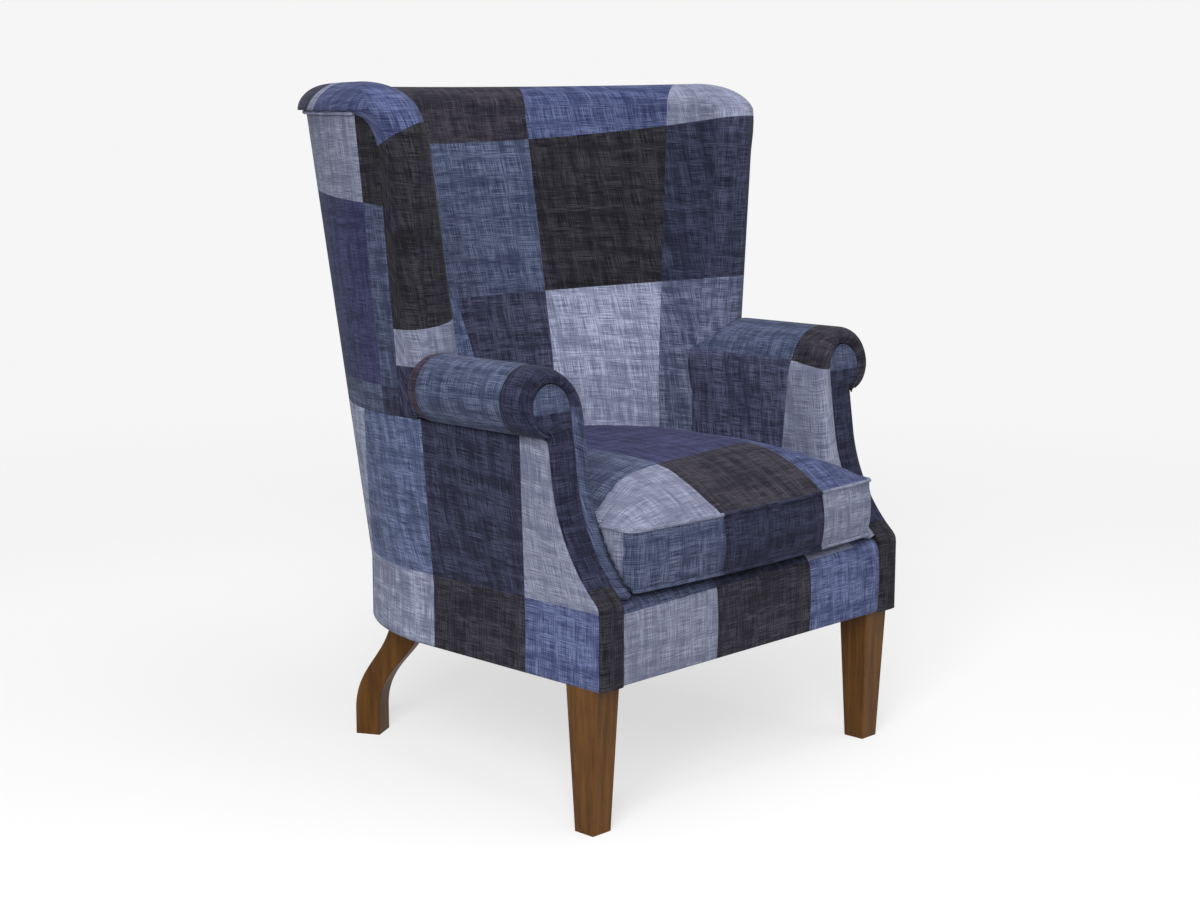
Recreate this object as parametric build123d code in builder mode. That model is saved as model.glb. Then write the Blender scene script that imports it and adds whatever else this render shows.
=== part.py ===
from build123d import *

import os
from math import acos, asin, cos, degrees, radians, sin, sqrt, tan

# A wing armchair with a barrel back, made as an upholsterer makes it: a hardwood frame,
# webbing, padding, cover panels over the outside, and a loose seat cushion.
# Millimetres. The origin is on the floor under the middle of the chair, +Z is up, the sitter
# faces -Y, and left and right are as seen from the front.

# Overall sizes
overall_depth = 838.0
overall_height = 1050.0
seat_underside = 216.0
fit_gap = 0.3

# The outer shell: a barrel that stands upright below the bend and leans out above it
shell_radius_low = 337.0
shell_radius_high = 400.0
back_lean = 40.0
bend_height = 310.0
panel_thickness = 4.0
wing_panel_angle = 55.0

# The roll along the top of the back and wings
roll_height = 42.0
roll_overhang = 13.0
roll_dip = 6.0
roll_steps = (0.0, 25.0, 50.0, 74.0)

# The inside of the back and wings
pad_rise = 3.7
back_thickness_low = 135.0
back_thickness_high = 88.0
hollow_spread = 2.0
wing_thickness_high = 68.0
wing_forward = 18.0
nose_run = 21.0
wing_corner_height = 100.0
wing_corner_run = 85.0
wing_corner_steps = (0.0, 0.35)
wing_start_rise = 7.3

# Arms and their fronts
arm_top = 661.0
arm_roll_radius = 50.0
arm_roll_offset = 3.0
arm_roll_tuck = 75.0
arm_pad_thickness = 29.0
arm_front_round = 16.0
facing_flare = 4.0
facing_width = 46.0
facing_thickness = 8.0
facing_head_radius = 35.5
facing_head_inset = 12.5
facing_head_drop = 11.0
toe_drop = 12.3
toe_radius = 20.0
toe_turn = 48.0
sweep_radius = 260.0
arm_rake = 8.0

# Hardwood frame
seat_rail_height = 84.0
side_rail_thickness = 40.0
back_rail_thickness = 42.0
front_rail_thickness = 28.0
border_thickness = 30.0
stump_depth = 60.0
stump_inset = 10.0
arm_rail_height = 32.0
liner_height = 30.0
liner_rise = 4.0
post_depth = 30.0
back_post_width = 45.0
back_post_angle = 34.0
wing_post_depth = 24.0
wing_post_width = 45.0
top_rail_height = 38.0
block_leg = 68.0
block_height = 60.0
block_rise = 12.0
leg_block_width = 60.0
leg_block_reach = 54.0

# Legs and their bolts
front_leg_foot = 37.0
front_leg_head = 54.0
front_leg_inset = 27.5
front_leg_setback = 43.0
rear_leg_foot = 41.0
rear_leg_head = 54.0
rear_leg_width = 44.0
rear_leg_inset = 60.4
rear_leg_angle = 43.95
rear_leg_turn = 28.0
rear_leg_sweep = 72.0
rear_leg_foot_height = 40.0
leg_edge_round = 2.0
bolt_radius = 4.0
bolt_in_leg = 45.0
bolt_in_frame = 50.0
bolt_gap = 0.15

# Seat support
webbing_thickness = 2.0
webbing_width = 50.0
webbing_margin = 10.0
long_webbing_pitch = 95.0
long_webbing_steps = (-2, -1, 0, 1, 2)
front_webbing_shares = (0.17, 0.5, 0.83)
back_webbing_shares = (0.33, 0.6)
platform_thickness = 36.0
dust_cover_thickness = 1.4
dust_cover_margin = 12.0
border_round = 24.0

# Loose seat cushion
cushion_boxing = 86.0
cushion_side_swell = 2.4
cushion_base_rise = 9.0
cushion_base_draw = 14.0
cushion_crown = 68.0
crown_place = 0.57
cushion_bow = 13.0
cushion_overhang = 14.0
cushion_side_gap = 0.6
cushion_back_gap = 5.0
cushion_corner = 14.0
crown_corner = 200.0
crown_steps = ((0.0, 1.0), (0.42, 0.9), (0.72, 0.72), (0.92, 0.46), (1.0, 0.2))
piping_radius = 3.0

# Places worked out from the sizes above
front_y = -overall_depth / 2 + cushion_overhang
shell_centre_high = overall_depth / 2 - shell_radius_high - roll_overhang
shell_centre_low = shell_centre_high - back_lean
roll_seam_height = overall_height - roll_height
wing_front_y = shell_centre_high - wing_forward
nose_y = wing_front_y - nose_run
wing_corner_foot = overall_height - wing_corner_height
facing_outer_x = shell_radius_low + facing_flare
facing_inner_x = facing_outer_x - facing_width
arm_inner_x = facing_inner_x - arm_pad_thickness
arm_roll_centre_x = facing_outer_x + arm_roll_offset
arm_roll_height = arm_top - arm_roll_radius
facing_head_x = arm_roll_centre_x - facing_head_inset
facing_head_height = arm_roll_height - facing_head_drop
arm_shoulder = arm_roll_centre_x - arm_inner_x
arm_underside = arm_roll_height - arm_roll_radius * sin(radians(arm_roll_tuck))
arm_back_y = wing_front_y - fit_gap
arm_frame_top = arm_underside - fit_gap
wing_start_height = arm_underside + wing_start_rise
hollow_radius_low = arm_inner_x + hollow_spread
hollow_radius_high = shell_radius_high - wing_thickness_high
hollow_back_low = shell_centre_low + shell_radius_low - back_thickness_low
hollow_centre_low = hollow_back_low - hollow_radius_low
hollow_back_high = shell_centre_high + shell_radius_high - back_thickness_high
hollow_centre_high = hollow_back_high - hollow_radius_high
frame_depth = panel_thickness + fit_gap
pad_depth = frame_depth + post_depth + fit_gap
frame_top = roll_seam_height - frame_depth
stump_inner_x = facing_inner_x + stump_inset
stump_front = facing_thickness + fit_gap
stump_back_y = front_y + stump_front + stump_depth
rail_top = seat_underside + seat_rail_height
back_rail_outer = shell_radius_low - frame_depth
back_rail_inner = back_rail_outer - back_rail_thickness
front_rail_y = front_y + border_thickness + fit_gap
front_rail_back = front_rail_y + front_rail_thickness
webbing_top = rail_top + webbing_thickness
platform_bottom = webbing_top + fit_gap
deck_top = platform_bottom + platform_thickness
pad_bottom = deck_top + pad_rise
liner_bottom = pad_bottom + liner_rise
toe_height = deck_top - toe_drop
cushion_bottom = deck_top + fit_gap
cushion_low_seam = cushion_bottom + cushion_base_rise
cushion_high_seam = cushion_low_seam + cushion_boxing
cushion_half_width = arm_inner_x - piping_radius - cushion_side_gap
wing_post_front = wing_front_y + fit_gap
wing_post_back = wing_post_front + wing_post_width
front_leg_x = facing_outer_x - front_leg_inset
front_leg_y = front_y + front_leg_setback
rear_leg_radius = shell_radius_low - rear_leg_inset
rear_leg_x = rear_leg_radius * sin(radians(rear_leg_angle))
rear_leg_y = shell_centre_low + rear_leg_radius * cos(radians(rear_leg_angle))
long_webbing_x = [long_webbing_pitch * step for step in long_webbing_steps]
seat_run = shell_centre_low - front_rail_back
front_webbing_y = [front_rail_back + seat_run * share for share in front_webbing_shares]
back_webbing_y = [shell_centre_low + back_rail_inner * share for share in back_webbing_shares]


# The shell and the hollow of the seat, by height


def lean(height, foot):
    """0 at the foot height, 1 at the seam under the top roll, and straight between them."""
    return max(0.0, (height - foot) / (roll_seam_height - foot))


def shell_radius(height):
    return shell_radius_low + (shell_radius_high - shell_radius_low) * lean(height, bend_height)


def shell_centre(height):
    return shell_centre_low + (shell_centre_high - shell_centre_low) * lean(height, bend_height)


def hollow_radius(height):
    return hollow_radius_low + (hollow_radius_high - hollow_radius_low) * lean(height, wing_start_height)


def hollow_centre(height):
    return hollow_centre_low + (hollow_centre_high - hollow_centre_low) * lean(height, pad_bottom)


def around(radius, centre, angle):
    """A point in plan, at this angle from the middle of the back towards the right."""
    return (radius * sin(radians(angle)), centre + radius * cos(radians(angle)))


def angle_at(radius, centre, y):
    """The angle from the middle of the back at which a circle comes forward to y."""
    return degrees(acos((y - centre) / radius))


def arc(radius, centre, start, finish):
    """One arc in plan between two angles from the middle of the back."""
    middle = (start + finish) / 2
    ThreePointArc(*(around(radius, centre, angle) for angle in (start, middle, finish)))


def barrel_arcs(radius, centre, end_y):
    """Two arcs round the back, ending on both sides at end_y."""
    end = angle_at(radius, centre, end_y)
    arc(radius, centre, -end, 0)
    arc(radius, centre, 0, end)


def strip(height, outer_depth, inner_depth, start, finish):
    """Plan of a curved strip of the shell between two angles, at two depths below its face."""
    centre = shell_centre(height)
    outer = shell_radius(height) - outer_depth
    inner = shell_radius(height) - inner_depth
    with BuildSketch(Plane.XY.offset(height)) as plan:
        with BuildLine():
            arc(outer, centre, start, finish)
            arc(inner, centre, start, finish)
            Line(around(outer, centre, start), around(inner, centre, start))
            Line(around(outer, centre, finish), around(inner, centre, finish))
        make_face()
    return plan.sketch


def barrel_strip(height, outer_depth, inner_depth, end_y):
    """Plan of a strip that goes all round the back and ends on both sides at end_y."""
    centre = shell_centre(height)
    outer = shell_radius(height) - outer_depth
    inner = shell_radius(height) - inner_depth
    with BuildSketch(Plane.XY.offset(height)) as plan:
        with BuildLine():
            barrel_arcs(outer, centre, end_y)
            barrel_arcs(inner, centre, end_y)
            for side in (-1, 1):
                outer_end = around(outer, centre, side * angle_at(outer, centre, end_y))
                inner_end = around(inner, centre, side * angle_at(inner, centre, end_y))
                Line(outer_end, inner_end)
        make_face()
    return plan.sketch


def wing_strip(height, outer_depth, inner_depth, start, front):
    """Plan of a strip of the right wing, from an angle round the back to the wing's front."""
    centre = shell_centre(height)
    outer = shell_radius(height) - outer_depth
    inner = shell_radius(height) - inner_depth
    outer_end = angle_at(outer, centre, front)
    inner_end = angle_at(inner, centre, front)
    with BuildSketch(Plane.XY.offset(height)) as plan:
        with BuildLine():
            arc(outer, centre, start, outer_end)
            arc(inner, centre, start, inner_end)
            Line(around(outer, centre, start), around(inner, centre, start))
            Line(around(outer, centre, outer_end), around(inner, centre, inner_end))
        make_face()
    return plan.sketch


def nose_line(height):
    """Where the wing's round nose begins, by height: it turns back round the top front corner."""
    climb = max(0.0, (height - wing_corner_foot) / wing_corner_height)
    return nose_y + wing_corner_run * (1 - sqrt(1 - climb**2))


def padded_plan(level, laid_on, front, overhang=0.0, draw=0.0):
    """Plan of the padded back and wings, read at a level and laid on a plane.

    The wing fronts are round noses that begin at front. The overhang moves its outer face out,
    and the draw is the share by which both faces close in on the middle of its thickness."""
    outer = shell_radius(level) + overhang
    inner = hollow_radius(level)
    outer_centre = shell_centre(level)
    inner_centre = hollow_centre(level)
    closing = (outer - inner) / 2 * draw
    shift = (outer_centre - inner_centre) / 2 * draw
    outer, inner = outer - closing, inner + closing
    outer_centre, inner_centre = outer_centre - shift, inner_centre + shift
    outer_x = around(outer, outer_centre, angle_at(outer, outer_centre, front))[0]
    inner_x = around(inner, inner_centre, angle_at(inner, inner_centre, front))[0]
    nose = (outer_x - inner_x) / 2
    nose_x = (outer_x + inner_x) / 2
    half = nose * sqrt(0.5)
    with BuildSketch(laid_on) as plan:
        with BuildLine():
            barrel_arcs(outer, outer_centre, front)
            barrel_arcs(inner, inner_centre, front)
            for side in (-1, 1):
                tip = (side * nose_x, front - nose)
                for end_x, middle_x in ((outer_x, nose_x + half), (inner_x, nose_x - half)):
                    end = (side * end_x, front)
                    ThreePointArc(end, (side * middle_x, front - half), tip)
        make_face()
    return plan.sketch


def lower_plan(height):
    """Plan of the padded back below the wings, with its two ends flat against the arms."""
    outer = shell_radius(height) - pad_depth
    inner = hollow_radius(height)
    outer_centre = shell_centre(height)
    inner_centre = hollow_centre(height)
    with BuildSketch(Plane.XY.offset(height)) as plan:
        with BuildLine():
            barrel_arcs(outer, outer_centre, wing_front_y)
            barrel_arcs(inner, inner_centre, wing_front_y)
            for side in (-1, 1):
                outer_end = around(outer, outer_centre, angle_at(outer, outer_centre, wing_front_y))
                inner_end = around(inner, inner_centre, angle_at(inner, inner_centre, wing_front_y))
                Line((side * outer_end[0], wing_front_y), (side * inner_end[0], wing_front_y))
        make_face()
    return plan.sketch


# The swept front line of the arms, and the arm's own section


def behind_arm_front(setback, at_x=0.0):
    """Side view of all that lies behind the arms' front line, moved back by setback.

    The line stands upright to the toe, turns back over it, sweeps up and rakes to the roll."""
    above = arm_top + arm_roll_radius
    below = seat_underside - arm_roll_radius
    back = overall_depth / 2
    with BuildSketch(Plane.YZ.offset(at_x)) as side_view:
        with BuildLine():
            toe = Line((front_y + setback, below), (front_y + setback, toe_height))
            turn = JernArc(toe @ 1, toe % 1, toe_radius, -toe_turn)
            swept = JernArc(turn @ 1, turn % 1, sweep_radius, toe_turn - arm_rake)
            rise = above - (swept @ 1).Y
            top = ((swept @ 1).X + rise * tan(radians(arm_rake)), above)
            Polyline(swept @ 1, top, (back, above), (back, below), toe @ 0)
        make_face()
    return side_view.sketch


def arm_section(y, growth):
    """Front view of the right arm pad: upright inside, rolled over the top and tucked under."""
    roll_side = (arm_roll_centre_x + arm_roll_radius, arm_roll_height)
    tuck_x = arm_roll_centre_x + arm_roll_radius * cos(radians(arm_roll_tuck))
    shoulder = (arm_inner_x, arm_top - arm_shoulder)
    crest = (arm_roll_centre_x, arm_top)
    with BuildSketch(Plane.XZ.offset(-y)) as front_view:
        with BuildLine():
            inside = Line((arm_inner_x, pad_bottom), shoulder)
            over = TangentArc(shoulder, crest, tangent=inside % 1)
            outside = TangentArc(crest, roll_side, tangent=over % 1)
            under = TangentArc(roll_side, (tuck_x, arm_underside), tangent=outside % 1)
            base = (stump_inner_x - fit_gap, pad_bottom)
            Polyline(under @ 1, (base[0], arm_underside), base, inside @ 0)
        make_face()
        if growth:
            offset(amount=growth, kind=Kind.INTERSECTION)
    return front_view.sketch


def facing_outline(y, growth):
    """Front view of the right facing: an upright band with a round head at the roll."""
    band_height = facing_head_height - seat_underside
    band_middle = ((facing_inner_x + facing_outer_x) / 2, seat_underside + band_height / 2)
    with BuildSketch(Plane.XZ.offset(-y)) as front_view:
        with Locations(band_middle):
            Rectangle(facing_outer_x - facing_inner_x + 2 * growth, band_height)
        with Locations((facing_head_x, facing_head_height)):
            Circle(facing_head_radius + growth)
    return front_view.sketch


def side_line_x(y, depth):
    """The outer face of the chair's side, between the facing and the barrel, at a depth."""
    share = (y - front_y) / (shell_centre_low - front_y)
    return facing_outer_x + (shell_radius_low - facing_outer_x) * share - depth


stump_outer_x = side_line_x(stump_back_y + stump_depth, frame_depth)

# Writing each piece to its own file

os.makedirs("parts", exist_ok=True)


def keep(piece, name):
    piece.part.label = name
    export_step(piece.part, f"parts/{name}.step")


def keep_pair(right_piece, name):
    """Writes a right-hand piece and its mirror image on the left."""
    with BuildPart() as left_piece:
        mirror(right_piece.part, about=Plane.YZ)
    keep(left_piece, f"{name}_left")
    keep(right_piece, f"{name}_right")


# Front legs: tapered square posts, bored for a hanger bolt

with BuildPart() as front_leg:
    with BuildSketch(Plane.XY):
        with Locations((front_leg_x, front_leg_y)):
            Rectangle(front_leg_foot, front_leg_foot)
    with BuildSketch(Plane.XY.offset(seat_underside)):
        with Locations((front_leg_x, front_leg_y)):
            Rectangle(front_leg_head, front_leg_head)
    loft(ruled=True)
    fillet(front_leg.edges().filter_by_position(Axis.Z, 0, seat_underside, (False, False)), leg_edge_round)
    with Locations((front_leg_x, front_leg_y, seat_underside)):
        Hole(bolt_radius + bolt_gap, depth=bolt_in_leg)
keep_pair(front_leg, "front_leg")

# Rear legs: sawn to an easy S that sweeps back and outward from the head to an upright foot

sweep_x = sin(radians(rear_leg_turn))
sweep_y = cos(radians(rear_leg_turn))
leg_plane = Plane(
    origin=(rear_leg_x, rear_leg_y, 0),
    x_dir=(sweep_x, sweep_y, 0),
    z_dir=(sweep_y, -sweep_x, 0),
)
with BuildPart() as rear_leg:
    with BuildSketch(leg_plane):
        with BuildLine():
            head = rear_leg_head / 2
            toe_back = (rear_leg_sweep + rear_leg_foot / 2, 0)
            toe_front = (rear_leg_sweep - rear_leg_foot / 2, 0)
            for toe, head_x in ((toe_back, head), (toe_front, -head)):
                upright = Line(toe, (toe[0], rear_leg_foot_height))
                Spline(upright @ 1, (head_x, seat_underside), tangents=(upright % 1, upright % 1))
            Line(toe_back, toe_front)
            Line((-head, seat_underside), (head, seat_underside))
        make_face()
    extrude(amount=rear_leg_width / 2, both=True)
    long_edges = rear_leg.edges().filter_by_position(Axis.Z, 0, seat_underside, (False, False))
    fillet(long_edges.filter_by(Axis((0, 0, 0), leg_plane.z_dir), reverse=True), leg_edge_round)
    with Locations((rear_leg_x, rear_leg_y, seat_underside)):
        Hole(bolt_radius + bolt_gap, depth=bolt_in_leg)
keep_pair(rear_leg, "rear_leg")

leg_places = [
    (side * x, y)
    for x, y in ((front_leg_x, front_leg_y), (rear_leg_x, rear_leg_y))
    for side in (-1, 1)
]

# Hanger bolts: one in the head of each leg, screwed up into the frame

with BuildPart() as leg_bolts:
    with Locations(*[(x, y, seat_underside - bolt_in_leg + fit_gap) for x, y in leg_places]):
        length = bolt_in_leg + bolt_in_frame - 2 * fit_gap
        Cylinder(bolt_radius, length, align=(Align.CENTER, Align.CENTER, Align.MIN))
keep(leg_bolts, "leg_bolts")


def bolt_bore(x, y):
    """The bore in the frame above a leg, open at the frame's underside."""
    with Locations((x, y, seat_underside)):
        align = (Align.CENTER, Align.CENTER, Align.MIN)
        Cylinder(bolt_radius + bolt_gap, bolt_in_frame, align=align, mode=Mode.SUBTRACT)


# Arm stumps: sawn to the swept line of the arm front, standing on the front legs

with BuildPart() as arm_stump:
    width = stump_outer_x - stump_inner_x
    extrude(behind_arm_front(stump_front, stump_inner_x), amount=width)
    cut_away = behind_arm_front(stump_front + stump_depth, stump_inner_x)
    extrude(cut_away, amount=width, mode=Mode.SUBTRACT)
    split(bisect_by=Plane.XY.offset(arm_frame_top), keep=Keep.BOTTOM)
    split(bisect_by=Plane.XY.offset(seat_underside), keep=Keep.TOP)
    bolt_bore(front_leg_x, front_leg_y)
keep_pair(arm_stump, "arm_stump")

# Seat rails: a straight front, two straight sides and a back cut to the barrel

with BuildPart() as front_seat_rail:
    with BuildSketch(Plane.XY.offset(seat_underside)):
        with Locations((0, (front_rail_y + front_rail_back) / 2)):
            Rectangle(2 * stump_inner_x - 2 * fit_gap, front_rail_thickness)
    extrude(amount=seat_rail_height)
keep(front_seat_rail, "front_seat_rail")

with BuildPart() as side_seat_rail:
    rail_front = stump_back_y + fit_gap
    rail_back = shell_centre_low - fit_gap
    with BuildSketch(Plane.XY.offset(seat_underside)):
        with BuildLine():
            Polyline(
                (side_line_x(rail_front, frame_depth), rail_front),
                (side_line_x(rail_back, frame_depth), rail_back),
                (side_line_x(rail_back, frame_depth + side_rail_thickness), rail_back),
                (side_line_x(rail_front, frame_depth + side_rail_thickness), rail_front),
                close=True,
            )
        make_face()
    extrude(amount=seat_rail_height - webbing_thickness)
keep_pair(side_seat_rail, "side_seat_rail")

with BuildPart() as back_seat_rail:
    extrude(
        barrel_strip(seat_underside, frame_depth, frame_depth + back_rail_thickness, shell_centre_low),
        amount=seat_rail_height,
    )
keep(back_seat_rail, "back_seat_rail")

# Corner blocks: glued inside the seat rails, across the front corners, over the joints of the
# back rail, and behind it where the rear legs are bolted on

with BuildPart() as corner_blocks:
    with BuildSketch(Plane.XY.offset(seat_underside + block_rise)):
        corner_x = side_line_x(stump_back_y + block_leg, frame_depth + side_rail_thickness) - fit_gap
        corner_y = front_rail_back + fit_gap
        joint_x = around(back_rail_inner, 0, angle_at(back_rail_inner, 0, block_leg / 2))[0] - fit_gap
        for side in (-1, 1):
            with BuildLine():
                Polyline(
                    (side * corner_x, corner_y),
                    (side * (corner_x - block_leg), corner_y),
                    (side * corner_x, corner_y + block_leg),
                    close=True,
                )
            make_face()
            with Locations((side * (joint_x - front_rail_thickness / 2), shell_centre_low)):
                Rectangle(front_rail_thickness, block_leg)
    extrude(amount=block_height)
    with BuildSketch(Plane.XY.offset(seat_underside)):
        for side in (-1, 1):
            block_middle = around(
                back_rail_inner - leg_block_reach / 2, shell_centre_low, side * rear_leg_angle
            )
            with Locations(Location((*block_middle, 0), (0, 0, -side * rear_leg_angle))):
                Rectangle(leg_block_width, leg_block_reach)
        with Locations((0, shell_centre_low)):
            Circle(back_rail_inner - fit_gap, mode=Mode.INTERSECT)
    extrude(amount=block_rise + block_height)
    for side in (-1, 1):
        bolt_bore(side * rear_leg_x, rear_leg_y)
keep(corner_blocks, "corner_blocks")

# Wing posts and back posts: uprights sawn to the lean of the shell

post_levels = (rail_top + fit_gap, bend_height, frame_top - top_rail_height - fit_gap)

with BuildPart() as wing_post:
    for level in post_levels:
        face_radius = shell_radius(level) - frame_depth
        face_centre = shell_centre(level)
        edge_x = [
            around(face_radius, face_centre, angle_at(face_radius, face_centre, y))[0]
            for y in (wing_post_front, wing_post_back)
        ]
        post_x = min(edge_x) - fit_gap - wing_post_depth / 2
        with BuildSketch(Plane.XY.offset(level)):
            with Locations((post_x, (wing_post_front + wing_post_back) / 2)):
                Rectangle(wing_post_depth, wing_post_width)
    loft(ruled=True)
keep_pair(wing_post, "wing_post")

with BuildPart() as back_post:
    half_turn = degrees(asin(back_post_width / 2 / back_rail_outer))
    loft(
        [
            strip(
                level,
                frame_depth,
                frame_depth + post_depth,
                back_post_angle - half_turn,
                back_post_angle + half_turn,
            )
            for level in post_levels
        ],
        ruled=True,
    )
keep_pair(back_post, "back_post")

# Top rail: one bent rail over all four posts

with BuildPart() as top_rail:
    loft(
        [
            barrel_strip(level, frame_depth, frame_depth + post_depth, wing_post_front)
            for level in (frame_top - top_rail_height, frame_top)
        ],
        ruled=True,
    )
keep(top_rail, "top_rail")

# Arm rails and arm liners: from each stump back to its wing post

for name, bottom, height in (
    ("arm_rail", arm_frame_top - arm_rail_height, arm_rail_height),
    ("arm_liner", liner_bottom, liner_height),
):
    with BuildPart() as rail:
        with BuildSketch(Plane.XY.offset(bottom)):
            with BuildLine():
                Polyline(
                    (stump_inner_x, front_y),
                    (side_line_x(front_y, frame_depth), front_y),
                    (side_line_x(arm_back_y, frame_depth), arm_back_y),
                    (stump_inner_x, arm_back_y),
                    close=True,
                )
            make_face()
        extrude(amount=height)
        behind_stump = behind_arm_front(stump_front + stump_depth + fit_gap)
        extrude(behind_stump, amount=2 * arm_roll_centre_x, mode=Mode.INTERSECT)
    keep_pair(rail, name)

# Back liner: short bent rails between the posts, for the foot of the inside back

with BuildPart() as back_liner:
    gap_turn = degrees(fit_gap / back_rail_inner)
    post_edge = back_post_angle + half_turn + gap_turn
    liner_inner = shell_radius(liner_bottom) - frame_depth - post_depth
    wing_edge = angle_at(liner_inner, shell_centre(liner_bottom), wing_post_back) - 2 * gap_turn
    inner_edge = back_post_angle - half_turn - gap_turn
    for start, finish in ((-wing_edge, -post_edge), (-inner_edge, inner_edge), (post_edge, wing_edge)):
        loft(
            [
                strip(level, frame_depth, frame_depth + post_depth, start, finish)
                for level in (liner_bottom, liner_bottom + liner_height)
            ],
            ruled=True,
        )
keep(back_liner, "back_liner")

# Webbing: straps from front to back over straps from side to side

with BuildPart() as webbing:
    reach = back_rail_inner + webbing_margin
    with BuildSketch(Plane.XY.offset(rail_top)):
        for x in long_webbing_x:
            edge_x = abs(x) + webbing_width / 2
            back_end = shell_centre_low + sqrt(reach**2 - edge_x**2)
            front_end = front_rail_back - 2 * webbing_margin
            with Locations((x, (front_end + back_end) / 2)):
                Rectangle(webbing_width, back_end - front_end)
    extrude(amount=webbing_thickness)
    with BuildSketch(Plane.XY.offset(rail_top - webbing_thickness)):
        for y in front_webbing_y + back_webbing_y:
            edge_y = max(0.0, y + webbing_width / 2 - shell_centre_low)
            with Locations((0, y)):
                side_reach = back_rail_inner if edge_y else reach
                Rectangle(2 * sqrt(side_reach**2 - edge_y**2) - 2 * fit_gap, webbing_width)
    extrude(amount=webbing_thickness)
keep(webbing, "webbing")

# Seat platform: the padded deck over the webbing

with BuildPart() as seat_platform:
    with BuildSketch(Plane.XY.offset(platform_bottom)):
        with BuildLine():
            deck_front = front_rail_y
            deck_radius = back_rail_inner + webbing_margin - fit_gap
            barrel_arcs(deck_radius, shell_centre_low, shell_centre_low)
            Polyline(
                (-deck_radius, shell_centre_low),
                (-deck_radius, deck_front),
                (deck_radius, deck_front),
                (deck_radius, shell_centre_low),
            )
        make_face()
    extrude(amount=platform_thickness)
keep(seat_platform, "seat_platform")

# Front border: the padded front of the seat, rounded over into the platform

with BuildPart() as front_border:
    with BuildSketch(Plane.XY.offset(seat_underside)):
        with Locations((0, front_y + border_thickness / 2)):
            Rectangle(2 * facing_inner_x - 2 * fit_gap, border_thickness)
    extrude(amount=deck_top - seat_underside)
    front_top = front_border.edges().filter_by(Axis.X).group_by(Axis.Z)[-1].sort_by(Axis.Y)[0]
    fillet(front_top, border_round)
keep(front_border, "front_border")

# Arm facings: the shaped fronts of the arms, following the swept line

with BuildPart() as arm_facing:
    run = arm_back_y - front_y
    extrude(facing_outline(arm_back_y, 0.0), amount=run)
    extrude(behind_arm_front(0.0), amount=arm_roll_centre_x + arm_roll_radius, mode=Mode.INTERSECT)
    backing = behind_arm_front(facing_thickness)
    extrude(backing, amount=arm_roll_centre_x + arm_roll_radius, mode=Mode.SUBTRACT)
keep_pair(arm_facing, "arm_facing")

# Arm pads: padding up the inside of each arm and over its roll, with the facing let in

with BuildPart() as arm_pad:
    extrude(arm_section(arm_back_y, 0.0), amount=run)
    extrude(behind_arm_front(0.0), amount=2 * arm_roll_centre_x, mode=Mode.INTERSECT)
    roll_front = arm_pad.edges().filter_by(GeomType.ELLIPSE).group_by(Axis.Y)[0]
    fillet(roll_front, arm_front_round)
    with BuildPart(mode=Mode.PRIVATE) as facing_seat:
        extrude(facing_outline(arm_back_y, fit_gap), amount=run)
        far_side = behind_arm_front(facing_thickness + fit_gap)
        extrude(far_side, amount=2 * arm_roll_centre_x, mode=Mode.SUBTRACT)
    add(facing_seat.part, mode=Mode.SUBTRACT)
keep_pair(arm_pad, "arm_pad")

# Inside back: one padded barrel with its wings, rolled over the top rail and the wing fronts

roll_half = (wing_thickness_high + roll_overhang) / 2
roll_slope = roll_dip / (shell_centre_high + shell_radius_high - nose_line(overall_height))
with BuildPart() as inside_back:
    corner_levels = [wing_corner_foot + wing_corner_height * step for step in wing_corner_steps]
    wing_levels = (wing_start_height, *corner_levels, roll_seam_height)
    loft(
        [padded_plan(level, Plane.XY.offset(level), nose_line(level)) for level in wing_levels],
        ruled=True,
    )
    loft([lower_plan(level) for level in (pad_bottom, wing_start_height)], ruled=True)
    roll_sections = []
    for step in roll_steps:
        half = roll_half * cos(radians(step))
        rise = sin(radians(step)) / sin(radians(roll_steps[-1]))
        slope = roll_slope * rise
        level = roll_seam_height + roll_height * rise
        front = nose_line(level)
        top_plane = Plane(
            origin=(0, 0, level + (front - half) * slope), x_dir=(1, 0, 0), z_dir=(0, slope, 1)
        )
        draw = 1 - cos(radians(step))
        roll_sections.append(padded_plan(roll_seam_height, top_plane, front, roll_overhang, draw))
    loft(roll_sections)
    hollow_levels = (pad_bottom - pad_depth, bend_height, roll_seam_height - fit_gap)
    loft(
        [barrel_strip(z, -pad_depth, pad_depth, wing_front_y) for z in hollow_levels],
        ruled=True,
        mode=Mode.SUBTRACT,
    )
    for side in (1, -1):
        with BuildPart(mode=Mode.PRIVATE) as arm_seat:
            extrude(arm_section(wing_front_y, fit_gap), amount=run)
        seat_cut = arm_seat.part if side > 0 else arm_seat.part.mirror(Plane.YZ)
        add(seat_cut, mode=Mode.SUBTRACT)
keep(inside_back, "inside_back")

# Outside arms: cover panels from each facing round to the outside back

with BuildPart() as outside_arm:
    levels = (seat_underside, bend_height, arm_frame_top)
    plans = []
    for level in levels:
        centre = shell_centre(level)
        outer = shell_radius(level)
        inner = outer - panel_thickness
        with BuildSketch(Plane.XY.offset(level), mode=Mode.PRIVATE) as plan:
            with BuildLine():
                arc(outer, centre, wing_panel_angle, 90)
                arc(inner, centre, wing_panel_angle, 90)
                Line(around(outer, centre, wing_panel_angle), around(inner, centre, wing_panel_angle))
                Polyline(
                    (outer, centre),
                    (facing_outer_x, front_y),
                    (facing_outer_x - panel_thickness, front_y),
                    (inner, centre),
                )
            make_face()
        plans.append(plan.sketch)
    loft(plans, ruled=True)
    front_cut = behind_arm_front(facing_thickness + fit_gap)
    extrude(front_cut, amount=2 * shell_radius_high, mode=Mode.INTERSECT)
keep_pair(outside_arm, "outside_arm")

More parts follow.
